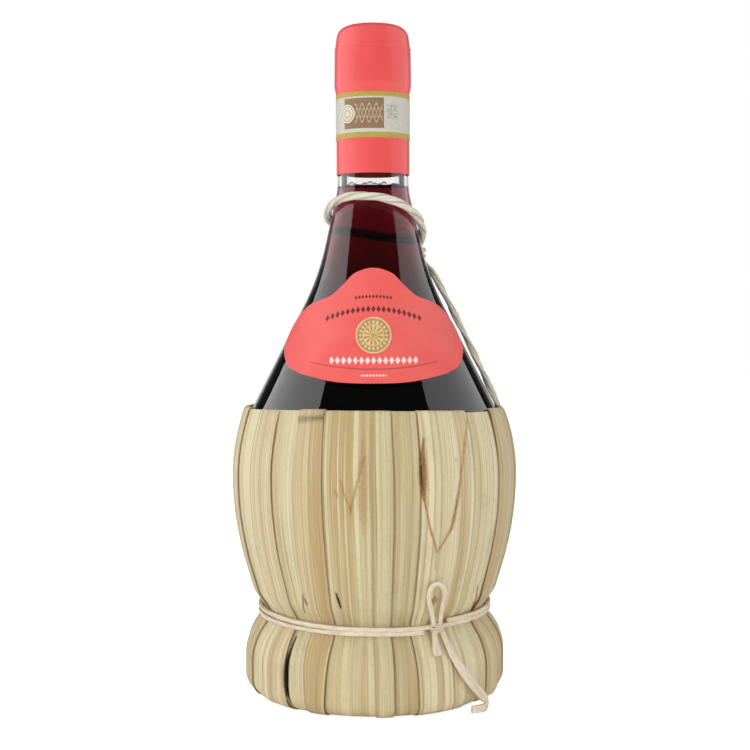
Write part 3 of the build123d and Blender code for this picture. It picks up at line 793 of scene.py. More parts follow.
def make_world():
    """Plain white behind everything; what the glass mirrors is dim but for the white backdrop."""
    world = bpy.data.worlds.new("studio")
    bpy.context.scene.world = world
    shader = Shader("studio", world)
    seen, mirrored = shader.seen()
    heading = shader.split(shader.place("Generated"))["Y"]
    ahead = shader.times(shader.math("SUBTRACT", heading, BACKDROP_EDGE), BACKDROP_FADE)
    backdrop = shader.math("MINIMUM", shader.math("MAXIMUM", ahead, ROOM_GLOSS), 1.0)
    change = shader.times(mirrored, shader.math("SUBTRACT", backdrop, ROOM_LIGHT))
    lit = shader.math("ADD", change, ROOM_LIGHT)
    shader.set("Background", Strength=shader.math("MAXIMUM", seen, lit), Color=WHITE)


def make_floor():
    """A pale floor that fades to plain white where nothing shades it."""
    mesh = bpy.data.meshes.new("floor")
    corners = [(x * FLOOR_REACH, y * FLOOR_REACH, 0) for x, y in ((-1, -1), (1, -1), (1, 1), (-1, 1))]
    mesh.from_pydata(corners, [], [(0, 1, 2, 3)])
    shader = Shader("floor")
    grain = shader.noise(shader.place(), 30, 2, 0.5)
    colour = shader.mix(grain, (0.90, 0.90, 0.90, 1), (0.92, 0.92, 0.92, 1))
    shader.set(Base_Color=colour, Roughness=0.9, Specular_IOR_Level=0.0)
    shader.set(Emission_Color=WHITE, Emission_Strength=shader.times(shader.seen()[0], FLOOR_GLOW))
    mesh.materials.append(shader.material)
    new_object("floor", mesh)


# Cords


def cord_line(points, fine=24):
    """Points read from the smooth line that has the route's points as its control points."""
    data = bpy.data.curves.new("route", "CURVE")
    data.dimensions = "3D"
    data.resolution_u = fine
    spline = data.splines.new("NURBS")
    spline.points.add(len(points) - 1)
    for point, place in zip(spline.points, points):
        point.co = (*place, 1.0)
    spline.order_u = 3
    spline.use_endpoint_u = True
    holder = bpy.data.objects.new("route", data)
    mesh = bpy.data.meshes.new_from_object(holder)
    line = [vertex.co.copy() for vertex in mesh.vertices]
    bpy.data.objects.remove(holder)
    bpy.data.curves.remove(data)
    bpy.data.meshes.remove(mesh)
    return line


def resample(line, step):
    """The line's points at even steps along it."""
    points = np.array([tuple(point) for point in line])
    lengths = np.concatenate([[0], np.cumsum(np.linalg.norm(np.diff(points, axis=0), axis=1))])
    keep = np.concatenate([[True], np.diff(lengths) > 1e-9])
    points, lengths = points[keep], lengths[keep]
    count = max(3, int(round(lengths[-1] / step)))
    wanted = np.linspace(0, lengths[-1], count + 1)
    return np.stack([np.interp(wanted, lengths, points[:, axis]) for axis in range(3)], 1), wanted


def unit_rows(vectors):
    return vectors / np.linalg.norm(vectors, axis=1)[:, None]


def carried_frames(points):
    """Two directions across the line at each point, carried along it without twisting."""
    tangents = unit_rows(np.gradient(points, axis=0))
    start = np.cross(tangents[0], (0.0, 0.0, 1.0))
    if np.linalg.norm(start) < 1e-3:
        start = np.cross(tangents[0], (0.0, 1.0, 0.0))
    across = [start / np.linalg.norm(start)]
    for tangent in tangents[1:]:
        side = across[-1] - tangent * np.dot(across[-1], tangent)
        across.append(side / np.linalg.norm(side))
    return np.array(across), np.cross(tangents, across)


def outward_frames(points):
    """Directions across the line: one along the surface it lies on and one away from the axis."""
    tangents = unit_rows(np.gradient(points, axis=0))
    side = unit_rows(np.cross(tangents, unit_rows(points * np.array((1.0, 1.0, 0.0)))))
    return side, np.cross(side, tangents)


EVEN_WIDTH = ((0, 1), (1, 1))
CREASE_DEPTH = 0.20
CREASE_SPREAD = 0.26
CORD_FLOOR_GAP = 0.05 * MM


def paper_mesh(line, wide, thick, seed, turn_length=0.0, widths=EVEN_WIDTH, creases=3, step=0.3 * MM,
               sides=24, frames=outward_frames):
    """A strand of twisted paper: flat, creased along its length and slowly turning."""
    points, lengths = resample(line, step)
    side, up = frames(points)
    swell = np.interp(lengths / lengths[-1], *zip(*widths))
    vertices, uv, groove_shade = [], [], []
    for index, (point, along) in enumerate(zip(points, lengths)):
        spin = 0.35 * noise_at(along * 60, seed, 0.5)
        if turn_length:
            spin += 2 * math.pi * along / turn_length
        w, t = wide / 2 * swell[index], thick / 2 * (0.5 + 0.5 * swell[index])
        w *= 1 + 0.07 * noise_at(along * 220, seed, 3.5)
        marks = [
            2 * math.pi * k / creases + 0.5 * noise_at(along * 90, seed + k, 7.5) for k in range(creases)
        ]
        for corner in range(sides):
            angle = 2 * math.pi * corner / sides
            dent = max(bell(math.remainder(angle - mark, 2 * math.pi), CREASE_SPREAD) for mark in marks)
            grain = noise_at(math.cos(angle) * 2.6, math.sin(angle) * 2.6, along * 260 + seed)
            reach = 1 - CREASE_DEPTH * dent + 0.06 * grain
            flat_side, flat_up = math.cos(angle) * w * reach, math.sin(angle) * t * reach
            x = flat_side * math.cos(spin) - flat_up * math.sin(spin)
            y = flat_side * math.sin(spin) + flat_up * math.cos(spin)
            place = point + side[index] * x + up[index] * y
            place[2] = max(place[2], CORD_FLOOR_GAP)
            vertices.append(place)
            uv.append((corner / sides * 2 * (w + t), along))
            groove_shade.append(dent)
    last = len(vertices) - sides
    faces = tube_faces(len(points), sides)
    faces += [tuple(range(sides - 1, -1, -1)), tuple(range(last, last + sides))]
    return vertices, faces, uv, groove_shade, [tuple(point) for point in points]


def paper_strand(name, lines, material, replaces, **shape):
    """One piece from one or more strands of paper. Returns it with the last strand's middle line."""
    vertices, faces, uv, groove_shade, path = [], [], [], [], []
    for line in lines:
        part, part_faces, part_uv, part_groove, path = paper_mesh(line, **shape)
        base = len(vertices)
        vertices += part
        faces += [tuple(base + corner for corner in face) for face in part_faces]
        uv += part_uv
        groove_shade += part_groove
    piece = new_piece(name, vertices, faces, material, replaces)
    face_outward(piece)
    set_uv(piece, uv)
    set_attribute(piece, "groove_shade", groove_shade)
    return piece, path


# Routes in millimetres, from where each cord leaves the object
BOW_POINTS = (
    (21.7, -41.3, 33.2),
    (20.6, -44.0, 39.5),
    (19.4, -46.9, 44.6),
    (20.1, -48.0, 48.2),
    (21.5, -47.9, 49.8),
    (23.5, -46.9, 49.8),
    (24.9, -45.6, 48.2),
    (25.6, -43.8, 44.6),
    (24.3, -42.0, 39.5),
    (23.8, -40.2, 33.2),
)
SHORT_TAIL_POINTS = (
    (21.8, -41.2, 30.7),
    (22.1, -43.2, 26.6),
    (22.9, -44.9, 22.8),
)
LONG_TAIL_POINTS = (
    (24.6, -39.9, 30.8),
    (26.4, -41.3, 26.4),
    (29.5, -42.2, 20.8),
    (33.4, -40.3, 14.4),
    (37.6, -37.2, 8.4),
    (41.0, -35.0, 4.2),
    (41.2, -36.9, 1.9),
    (38.9, -38.7, 1.3),
    (35.6, -39.8, 1.2),
)
LOOP_POINTS = (
    (15.4, 15.4, 170.5),
    (5.5, 20.5, 173.0),
    (-5.3, 19.7, 176.5),
    (-13.8, 13.8, 180.0),
    (-18.1, 4.8, 183.5),
    (-17.1, -4.6, 187.5),
    (-12.0, -12.0, 190.6),
    (-4.4, -16.4, 191.0),
    (4.4, -16.5, 190.2),
    (12.5, -12.5, 187.5),
    (18.3, -4.9, 182.5),
    (19.8, 5.3, 176.0),
    (16.9, 13.2, 171.5),
)
STAY_POINTS = (
    (49.2, 3.4, 109.0),
    (48.2, 3.5, 112.5),
    (25.2, 5.6, 159.8),
    (20.9, 9.9, 165.5),
    (18.6, 14.2, 168.2),
)
NECK_KNOT_STRAND = 2.6 * MM
WAIST_KNOT_STRAND = 2.0 * MM

# How the tails open out from the knot: share of the length and share of the width
SHORT_TAIL_WIDTHS = ((0, 0.8), (0.35, 1.0), (0.8, 1.5), (1, 1.6))
LONG_TAIL_WIDTHS = ((0, 0.8), (0.15, 1.1), (0.40, 1.5), (0.70, 1.65), (1, 1.5))

# Shape of each strand: width, thickness, seed, the length of a turn of its twist and how many creases
STAY_SHAPE = {"wide": 2.9 * MM, "thick": 2.1 * MM, "seed": 11, "turn_length": 31 * MM}
LOOP_SHAPE = {"wide": 3.4 * MM, "thick": 3.0 * MM, "seed": 12, "turn_length": 34 * MM}
BOW_SHAPE = {"wide": 1.9 * MM, "thick": 1.3 * MM, "seed": 13, "creases": 2}
SHORT_TAIL_SHAPE = {"wide": 2.8 * MM, "thick": 1.2 * MM, "seed": 14, "creases": 2}
SHORT_TAIL_SHAPE["widths"] = SHORT_TAIL_WIDTHS
LONG_TAIL_SHAPE = {"wide": 2.7 * MM, "thick": 1.2 * MM, "seed": 15, "creases": 2}
LONG_TAIL_SHAPE["widths"] = LONG_TAIL_WIDTHS
WINDING_SHAPE = {"wide": 1.9 * MM, "thick": 1.4 * MM, "seed": 21, "creases": 2, "step": 0.6 * MM, "sides": 18}

# Turns of a knot: how far each tilts in degrees, and its shift up in strand widths
KNOT_TURNS = ((8, -0.30), (-14, 0.32), (68, 0.0))


def make_knot(name, node, thickness, material, seed):
    """A tied knot: tight crossing turns of the cord's own strand."""
    low, high = (Vector(corner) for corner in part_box(node))
    centre = (low + high) / 2
    out = Vector((centre.x, centre.y, 0)).normalized()
    across = Vector((-out.y, out.x, 0))
    tall = (high.z - low.z) / 2 - thickness / 2
    wide, deep = tall * 1.15, tall * 0.85
    turns = []
    for tilt, shift in KNOT_TURNS:
        ring = []
        for step in range(45):
            angle = 2 * math.pi * step / 40
            side = math.sin(angle) * wide
            rise = side * lean_sin(tilt) + shift * thickness
            side *= lean_cos(tilt)
            ring.append(centre + out * (math.cos(angle) * deep) + across * side + Vector((0, 0, rise)))
        turns.append(ring)
    shape = {"wide": thickness, "thick": thickness * 0.75, "seed": seed, "frames": carried_frames}
    return paper_strand(name, turns, material, (node,), **shape)[0]


def make_cord(node, route, material, shape):
    """A cord along its route in millimetres: the piece, the point where it starts and its middle line."""
    points = [tuple(value * MM for value in point) for point in route]
    piece, path = paper_strand(f"{node}_cord", [cord_line(points)], material, (node,), **shape)
    return piece, points[0], path


def make_cords():
    pale = cord_material("neck_cord_fibre", (244, 239, 222), (222, 212, 184))
    waist = cord_material("waist_cord_fibre", (244, 231, 208), (224, 202, 172))
    neck_knot = make_knot("neck_knot_tied", "neck_knot", NECK_KNOT_STRAND, pale, 3)
    waist_knot = make_knot("waist_knot_tied", "waist_knot", WAIST_KNOT_STRAND, waist, 5)

    stay, start, path = make_cord("neck_stay", STAY_POINTS, pale, STAY_SHAPE)

    loop, start, path = make_cord("neck_loop", LOOP_POINTS, pale, LOOP_SHAPE)

    short, _, _ = make_cord("short_tail", SHORT_TAIL_POINTS, waist, SHORT_TAIL_SHAPE)
    bow, start, path = make_cord("bow_loop", BOW_POINTS, waist, BOW_SHAPE)

    tail, start, path = make_cord("long_tail", LONG_TAIL_POINTS, waist, LONG_TAIL_SHAPE)
    make_waist_winding(waist)


WINDING_RADIUS = 44.95 * MM
WINDING_PITCH = 2.05 * MM
WINDING_TURNS = 1.965
WINDING_SAG = 0.25 * MM
WINDING_POINTS = 360


def make_waist_winding(material):
    """Two turns of the waist cord, close at the front and apart at the left, as they were pulled."""
    knot = [(low + high) / 2 for low, high in zip(*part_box("waist_knot"))]
    start = math.atan2(knot[1], knot[0])
    line = []
    for step in range(WINDING_POINTS + 1):
        turns = WINDING_TURNS * (step / WINDING_POINTS - 0.5)
        angle = start + 2 * math.pi * turns
        apart = 0.78 + 0.42 * max(0.0, -math.cos(angle)) ** 2
        height = WAIST_Z - WINDING_PITCH * turns * apart + WINDING_SAG * math.sin(2 * angle + 0.8)
        line.append(round_axis(WINDING_RADIUS, angle, height))
    paper_strand("waist_cord_wound", [line], material, ("waist_cord",), **WINDING_SHAPE)


# Glass and wine

ROUND_STEP = 0.9 * MM
ROUND_SEGMENTS = 224
NECK_EASE = 1 * MM


def lip_corner(outside):
    """Where the lip's round ends and the finish's taper starts, at a distance outside the glass."""
    reach = LIP_RADIUS + outside
    return LIP_MIDDLE[0] + reach * lean_cos(LIP_LEAN), LIP_MIDDLE[1] + reach * lean_sin(LIP_LEAN)


def taper_end(outside):
    """Where that taper meets the finish's straight side."""
    corner = lip_corner(outside)
    run = FINISH_RADIUS + outside - corner[0]
    return FINISH_RADIUS + outside, corner[1] - run / lean_tan(LIP_LEAN)


LIP_MIDDLE = (
    FINISH_RADIUS - FINISH_TAPER - LIP_RADIUS * lean_cos(LIP_LEAN),
    TOP_CORNER_Z - LIP_RADIUS * lean_sin(LIP_LEAN),
)
BORE_EDGE = math.degrees(math.acos((BORE_RADIUS - LIP_MIDDLE[0]) / LIP_RADIUS))


def make_glass():
    inner_neck = NECK_RADIUS - GLASS_WALL
    neck_low = NECK_END_Z + NECK_EASE
    outer = arc_profile(LIP_MIDDLE, LIP_RADIUS, BORE_EDGE, LIP_LEAN, 12)
    top_z = outer[0][1]
    bore_end = top_z - BORE_DEPTH
    outer += [taper_end(0), (FINISH_RADIUS, FINISH_BOTTOM_Z), (NECK_RADIUS, FINISH_BOTTOM_Z)]
    outer += straight((NECK_RADIUS, FINISH_BOTTOM_Z - NECK_EASE), (NECK_RADIUS, neck_low), 6)
    outer += FLASK.points(ROUND_STEP)
    inner = FLASK.points(ROUND_STEP, depth=GLASS_WALL)[::-1]
    inner[0] = (0.0, inner[0][1])
    inner += straight((inner_neck, neck_low), (inner_neck, bore_end - BORE_FLARE), 3)
    inner += straight((BORE_RADIUS, bore_end), (BORE_RADIUS, top_z - NECK_EASE), 6)
    lathe("flask_glass", outer + inner, glass_material(), ("flask",), ROUND_SEGMENTS, 40)


WINE_OVERLAP = 0.05 * MM
WINE_CLIMB = 0.9 * MM
WINE_CLIMB_REACH = 2.2 * MM


def make_wine():
    """The wine meets the glass with no air between, and climbs it a little at its surface."""
    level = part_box("wine")[1][2]
    side = FLASK.points(ROUND_STEP, start=level + WINE_CLIMB, depth=GLASS_WALL - WINE_OVERLAP)
    rim_r, rim_z = side[0]
    climb = []
    for index in range(6, 0, -1):
        share = index / 6
        climb.append((rim_r - WINE_CLIMB_REACH * share, rim_z - WINE_CLIMB * (1 - (1 - share) ** 2.5)))
    surface = straight((rim_r * 0.3, climb[0][1]), climb[0], 3)
    profile = [(0.0, climb[0][1])] + surface[:-1] + climb + side
    profile[-1] = (0.0, profile[-1][1])
    lathe("wine_fill", profile, wine_material(), ("wine",), ROUND_SEGMENTS, 60)
    make_bubbles(rim_r, level)


BUBBLE_ROWS = 6
BUBBLE_SIDES = 10
SMALLEST_BUBBLE = 0.60 * MM
LARGEST_BUBBLE = 1.20 * MM


def make_bubbles(radius, height):
    """Bubbles that ring the wine's edge in the neck."""
    rng = random.Random(31)
    vertices, faces = [], []
    turn = 0.0
    while turn < 360:
        size = rng.uniform(SMALLEST_BUBBLE, LARGEST_BUBBLE)
        reach = radius - size * rng.uniform(0.95, 1.10)
        rise = size * rng.uniform(0.35, 1.15)
        centre = Vector(round_axis(reach, math.radians(turn), height + rise))
        base = len(vertices)
        for row in range(1, BUBBLE_ROWS):
            tilt = math.pi * row / BUBBLE_ROWS
            for column in range(BUBBLE_SIDES):
                swing = 2 * math.pi * column / BUBBLE_SIDES
                place = round_axis(size * math.sin(tilt), swing, size * math.cos(tilt))
                vertices.append(centre + Vector(place))
        low = len(vertices) - BUBBLE_SIDES
        top, bottom = len(vertices), len(vertices) + 1
        vertices += [centre + Vector((0, 0, size)), centre - Vector((0, 0, size))]
        faces += tube_faces(BUBBLE_ROWS - 1, BUBBLE_SIDES, base)
        for column in range(BUBBLE_SIDES):
            nxt = (column + 1) % BUBBLE_SIDES
            faces += [(top, base + column, base + nxt), (bottom, low + nxt, low + column)]
        turn += math.degrees(size * rng.uniform(1.5, 2.3) / radius)
    new_piece("wine_bubbles", vertices, faces, foam_material())


# Capsule, strip, labels

FOIL_GAP = 0.2 * MM
FOIL_REACH = 0.55 * MM
FOIL_SEGMENTS = 144
CAPSULE_RING_Z = 247.2 * MM
CROWN_DENTS = 0.10 * MM
SKIRT_DENTS = 0.05 * MM
SKIRT_THICKNESS = 0.3 * MM

# The crown's dome (share of the lip's middle, millimetres up), then in millimetres out from its side and
# up from a level: its pressed ring, its plain side, its rolled edge and its inside, and the skirt's edge
CROWN_DOME = ((0.0, 0.15), (0.5, 0.10))
SIDE_TOP = (0.02, -2.0)
SIDE_LOW = (0.16, 4.0)
INSIDE_PROFILE = ((-0.24, -0.68), (0.0, 0.3))
SKIRT_EDGE = ((0.0, 0.3), (-0.03, 0.0))
RING_PROFILE = (
    (-0.02, 0.9), (0.05, 0.6), (0.04, 0.4), (-0.16, 0.1), (-0.18, -0.2), (0.03, -0.5), (0.0, -1.0),
)
EDGE_PROFILE = (
    (0.18, 3.0), (0.14, 2.4), (0.04, 1.8), (-0.10, 1.2), (-0.26, 0.5), (-0.44, -0.2), (-0.52, -0.7),
)


def foil_shape(seed, amount):
    """Small dents and a slightly uneven edge for a foil sleeve."""

    def shape(r, z, angle):
        spot = Vector((math.cos(angle) * 2.2, math.sin(angle) * 2.2, z * 90 + seed))
        fine = noise_at(math.cos(angle) * 9, math.sin(angle) * 9, z * 300 + seed)
        dent = noise.noise(spot) * amount + fine * amount * 0.35
        return r + dent, z + noise.noise(spot * 1.7) * amount * 0.5

    return shape


def beside(radius, level, *places):
    """Points (r, z) at places in millimetres out from a radius and up from a level."""
    return [(radius + out * MM, level + up * MM) for out, up in places]


def make_capsule():
    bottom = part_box("capsule_crown")[0][2]
    radius, inner = FINISH_RADIUS + FOIL_REACH, FINISH_RADIUS + FOIL_GAP
    top = LIP_MIDDLE[1] + LIP_RADIUS
    outer = [(LIP_MIDDLE[0] * share, top + FOIL_REACH + up * MM) for share, up in CROWN_DOME]
    outer += arc_profile(LIP_MIDDLE, LIP_RADIUS + FOIL_REACH, 90, LIP_LEAN, 18)
    corner, end = lip_corner(FOIL_REACH), taper_end(FOIL_REACH)
    ring_top = CAPSULE_RING_Z + RING_PROFILE[0][1] * MM
    for share in (0.3, 0.6, 0.8):
        z = corner[1] + (ring_top - corner[1]) * share
        outer.append((np.interp(z, [end[1], corner[1]], [end[0], corner[0]]), z))
    outer += beside(radius, CAPSULE_RING_Z, *RING_PROFILE)
    outer += straight(*beside(radius, CAPSULE_RING_Z, SIDE_TOP), *beside(radius, bottom, SIDE_LOW), 12)
    outer += beside(radius, bottom, *EDGE_PROFILE)
    inside = beside(inner, bottom, *INSIDE_PROFILE) + [(inner, end[1])]
    inside += arc_profile(LIP_MIDDLE, LIP_RADIUS + FOIL_GAP, LIP_LEAN, 90, 12)
    inside += [(0.0, top + FOIL_GAP)]
    coral = foil_material()
    lathe("capsule_crown_foil", outer + inside, coral, ("capsule_crown",), FOIL_SEGMENTS, 50,
          body="crown", shape=foil_shape(4.0, CROWN_DENTS))
    low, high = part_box("capsule_skirt")
    radius, inner = high[0], high[0] - SKIRT_THICKNESS
    edge = beside(radius, low[2], *SKIRT_EDGE)
    sleeve = straight((radius, high[2]), edge[0], 34) + edge[1:]
    sleeve += straight((inner, low[2]), (inner, high[2]), 4)
    lathe("capsule_skirt_foil", sleeve, coral, ("capsule_skirt",), FOIL_SEGMENTS, 50,
          shape=foil_shape(9.0, SKIRT_DENTS))


STRIP_COLUMNS = 180
STRIP_ROWS = 16
STRIP_START = FRONT - 182
STRIP_TURN = 366
STRIP_THICKNESS = 0.13 * MM
STRIP_LAP = 0.10 * MM
STRIP_WAVE = 0.04 * MM


def make_strip():
    """The strip goes once round the neck and laps over itself at the back."""
    low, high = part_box("neck_strip")
    radius, bottom, top = high[0], low[2], high[2]
    front = math.radians(FRONT)
    vertices, uv = [], []
    for inward in (STRIP_THICKNESS, 0.0):
        for row in range(STRIP_ROWS + 1):
            for column in range(STRIP_COLUMNS + 1):
                share = column / STRIP_COLUMNS
                turn = math.radians(STRIP_START + STRIP_TURN * share)
                lap = STRIP_LAP * max(0.0, (share - 0.97) / 0.03)
                wave = STRIP_WAVE * noise_at(math.cos(turn) * 3, math.sin(turn) * 3, row * 0.35)
                z = bottom + (top - bottom) * row / STRIP_ROWS
                vertices.append(round_axis(radius + lap + wave - inward, turn, z))
                uv.append(((turn - front) * radius, z - bottom))
    faces = sheet_faces(STRIP_COLUMNS + 1, STRIP_ROWS + 1)
    piece = new_piece(
        "neck_strip_paper", vertices, faces, strip_material(), ("neck_strip",), sharp=50
    )
    set_uv(piece, uv)


LABEL_HALF_WIDTH = 34.2 * MM
LABEL_TOP_Z = 163.6 * MM
LABEL_BOTTOM_Z = 121.5 * MM
LABEL_FACE = 0.28 * MM
LABEL_BACK = 0.12 * MM
LABEL_COLUMNS = 48
LABEL_OUTLINE_SHARES = (
    (0.00, 1.000),
    (0.20, 0.955),
    (0.33, 0.853),
    (0.47, 0.753),
    (0.60, 0.712),
    (0.73, 0.660),
    (0.84, 0.565),
    (0.93, 0.449),
    (1.00, 0.280),
    (0.95, 0.147),
    (0.84, 0.086),
    (0.64, 0.043),
    (0.36, 0.008),
    (0.00, 0.000),
)
WELD = 0.004 * MM


def smooth_line(points, per_span=12):
    """A smooth line through points, Catmull-Rom, mirrored at both ends."""
    first, last = points[1], points[-2]
    padded = [(-first[0], first[1])] + list(points) + [(-last[0], last[1])]
    line = []
    for a, b, c, d in zip(padded, padded[1:], padded[2:], padded[3:]):
        for step in range(per_span):
            t = step / per_span
            line.append(tuple(
                0.5 * (2 * b[k] + (c[k] - a[k]) * t + (2 * a[k] - 5 * b[k] + 4 * c[k] - d[k]) * t * t
                       + (3 * b[k] - a[k] - 3 * c[k] + d[k]) * t**3)
                for k in range(2)
            ))
    line.append(tuple(points[-1]))
    return line


def on_flask(x, z, outside):
    """The point on the flask's front at a sideways place and a height, a little outside its face."""
    r, height, _ = FLASK.at(FLASK.length_at_height(z), -outside)
    turn = math.asin(max(-1.0, min(1.0, x / float(r))))
    return Vector((float(r) * math.sin(turn), -float(r) * math.cos(turn), float(height)))


def make_label():
    height = LABEL_TOP_Z - LABEL_BOTTOM_Z
    outline = [(a * LABEL_HALF_WIDTH, LABEL_BOTTOM_Z + b * height) for a, b in LABEL_OUTLINE_SHARES]
    side = smooth_line(outline)
    vertices = []
    for outside in (LABEL_FACE, LABEL_BACK):
        for reach, z in side:
            for column in range(LABEL_COLUMNS + 1):
                vertices.append(on_flask(reach * (2 * column / LABEL_COLUMNS - 1), z, outside))
    faces = sheet_faces(LABEL_COLUMNS + 1, len(side), ends=False)
    piece = new_piece(
        "front_label_paper", vertices, faces, label_material(), ("front_label",), sharp=60
    )
    face_outward(piece, WELD)
    make_seal()


SEAL_Z = 138.6 * MM
SEAL_RADIUS = 6.6 * MM
SEAL_FACE = 0.33 * MM
SEAL_BACK = 0.30 * MM
SEAL_GROOVE_DEPTH = 0.17 * MM
SEAL_RIM_HEIGHT = 0.22 * MM
SEAL_CHANNEL_HEIGHT = 0.08 * MM
SEAL_BAND_HEIGHT = 0.20 * MM
SEAL_RINGS = 34
SEAL_SEGMENTS = 160
SEAL_BEADS = 20
SEAL_RAYS = 12


def seal_height(radius, angle):
    """Relief of the round seal: a rim, a ring of beads, and a plain sunburst in the middle."""
    share = radius / SEAL_RADIUS
    if share > 0.93:
        return SEAL_RIM_HEIGHT
    if share > 0.86:
        return SEAL_CHANNEL_HEIGHT
    if share > 0.60:
        bead = 0.5 + 0.5 * math.cos(angle * SEAL_BEADS)
        across = 1 - abs((share - 0.73) / 0.13)
        return (0.06 + 0.20 * bead * max(0.0, across)) * MM
    if share > 0.54:
        return SEAL_BAND_HEIGHT
    ray = 0.5 + 0.5 * math.cos(angle * SEAL_RAYS)
    return (0.06 + 0.18 * ray * min(1.0, share / 0.15)) * MM


def make_seal():
    vertices, groove_shade = [], []
    for ring in range(SEAL_RINGS + 2):
        back = ring > SEAL_RINGS
        radius = SEAL_RADIUS * min(ring, SEAL_RINGS) / SEAL_RINGS
        for segment in range(SEAL_SEGMENTS):
            angle = 2 * math.pi * segment / SEAL_SEGMENTS
            lift = seal_height(radius, angle)
            outside = SEAL_BACK if back else SEAL_FACE + lift
            vertices.append(on_flask(radius * math.cos(angle), SEAL_Z + radius * math.sin(angle), outside))
            # Painted shade where the relief is low; the back gets half
            groove_shade.append(0.5 if back else max(0.0, min(1.0, 1.0 - lift / SEAL_GROOVE_DEPTH)))
    faces = tube_faces(SEAL_RINGS + 2, SEAL_SEGMENTS)
    faces.append(tuple(range(len(vertices) - SEAL_SEGMENTS, len(vertices))))
    piece = new_piece(
        "label_seal_gold", vertices, faces, gold_material(), ("label_seal",), sharp=50
    )
    set_attribute(piece, "groove_shade", groove_shade)
    face_outward(piece, WELD)


# Cork and rush ring

CORK_BEVEL = 0.6 * MM
CORK_END = 2 * MM
CORK_PIT_DEPTH = 1.2 * MM
RING_AROUND = 288
RING_SIDES = 72
RING_BINDINGS = 18
RING_STEMS = 9
STEM_GROOVE = 0.9 * MM
BINDING_DEPTH = 0.35 * MM


def make_cork():
    low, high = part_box("cork")
    radius = high[0]
    profile = [(0.0, high[2]), (radius - CORK_BEVEL, high[2]), (radius, high[2] - CORK_BEVEL)]
    profile += straight((radius, high[2] - CORK_END), (radius, low[2] + CORK_END), 40)
    profile += [(radius, low[2] + CORK_BEVEL), (radius - CORK_BEVEL, low[2]), (0.0, low[2])]

    def pitted(r, z, angle):
        pit = noise_at(math.cos(angle) * 7, math.sin(angle) * 7, z * 500)
        return r - max(0.0, pit - 0.35) * CORK_PIT_DEPTH, z

    lathe("cork_body", profile, cork_material(), ("cork",), 96, 50, body="cork", shape=pitted)


def make_rush_ring():
    """The rush bundle under the flask: stems that lie along the ring, bound by a strip at intervals."""
    low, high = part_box("base_ring")
    section = (high[2] - low[2]) / 2
    major = high[0] - section
    middle = (high[2] + low[2]) / 2
    vertices, uv, groove_shade = [], [], []
    for step in range(RING_AROUND):
        angle = 2 * math.pi * step / RING_AROUND
        bound = max(0.0, math.cos(angle * RING_BINDINGS) - 0.72) / 0.28
        for corner in range(RING_SIDES):
            swing = 2 * math.pi * corner / RING_SIDES
            stem = abs(math.sin(swing * RING_STEMS + 1.6 * math.sin(angle * 2)))
            reach = section - STEM_GROOVE * (1 - stem) ** 2 * (1 - bound) - BINDING_DEPTH * bound
            r, z = major + reach * math.cos(swing), middle + reach * math.sin(swing)
            vertices.append(round_axis(r, angle, z))
            uv.append((swing * section, angle * major) if bound < 0.3 else (angle * major, swing * section))
            # Painted shade in the grooves between stems, fading out under the bindings
            groove_shade.append((1 - stem) ** 2 * 0.7 * (1 - bound))
    faces = tube_faces(RING_AROUND, RING_SIDES, closed=True)
    piece = new_piece("rush_ring", vertices, faces, rush_material(), ("base_ring",))
    face_outward(piece)
    set_uv(piece, uv)
    set_attribute(piece, "groove_shade", groove_shade)


# Leaf strips

# Widths in degrees, from the front going round
LEAF_SPANS = (
    8.2, 10.8, 22.7, 16.4, 12.7, 11.0, 14.5, 12.5, 16.0, 11.0, 17.0, 12.5, 15.0,
    11.5, 18.0, 13.0, 15.5, 11.0, 16.5, 12.5, 14.5, 13.1, 12.9, 10.2, 11.9, 19.1,
)
FIRST_LEAF_TURN = -90.8
LEAF_OVERLAP = 2.2
LEAN_FROM = 55 * MM
FLARE_FROM = 85 * MM
LEAF_THICKNESS = 0.38 * MM
LEAF_STEP = 1.0 * MM
FRONT_COLUMN = 0.36 * MM
BACK_COLUMN = 0.8 * MM
FRONT_HALF_TURN = 75
UPPER_OFFSET = 0.97 * MM
UNDER_OFFSET = 0.53 * MM

# Folds down a strip: width of a lane, height and spread of tones, on the belly and on the foot
BELLY_LANES = (3.6 * MM, 0.20 * MM, 0.30)
FOOT_LANES = (3.2 * MM, 0.60 * MM, 0.30)
FOLD_DEPTH = 0.10 * MM
FOLD_WIDTH = 0.20 * MM
LANE_SOFT = 0.15 * MM

# Relief of a strip's face: width of a fibre, a swell and a crumple, and how high each stands
RIB_WIDTH = 1.1 * MM
SWELL_WIDTH = 4.2 * MM
CRUMPLE_WIDTH = 1.7 * MM
RIB_RELIEF = 0.05 * MM
SWELL_RELIEF = 0.14 * MM
RIM_CRUMPLE = 0.14 * MM
WAIST_CRUMPLE = 0.20 * MM
WAIST_SWELL = 0.22 * MM
FOLDED_END_LIFT = 0.30 * MM
LEAST_EDGE_LIFT = -0.02 * MM
LEAST_LIFT = -0.42 * MM
MOST_LIFT = 0.85 * MM

# How far the rim, the waist, a curled edge and the shade beside a strip reach
RIM_ZONE = 5 * MM
RISE_ZONE = 8 * MM
WAIST_ZONE = 7 * MM
FLAT_EDGE = 2.2 * MM
CURL_WIDTH = 1.6 * MM
MOST_CURL = 0.42 * MM
DARK_EDGE = 0.5 * MM
GAP_SHADE = 0.45 * MM
LAP_EASE = 1.0 * MM
STAIN_WIDTH = 3 * MM
FOOT_ZONE = (WAIST_Z + 3 * MM, WAIST_Z - 9 * MM)
UNDER_ZONE = (3 * MM, 1 * MM)
# Heights of the painted shade on the upper belly at the front
SHADED_FRONT_ZONE = (62 * MM, 84 * MM)
FLOOR_ZONE = 1.5 * MM
LEAST_RADIUS = 20 * MM
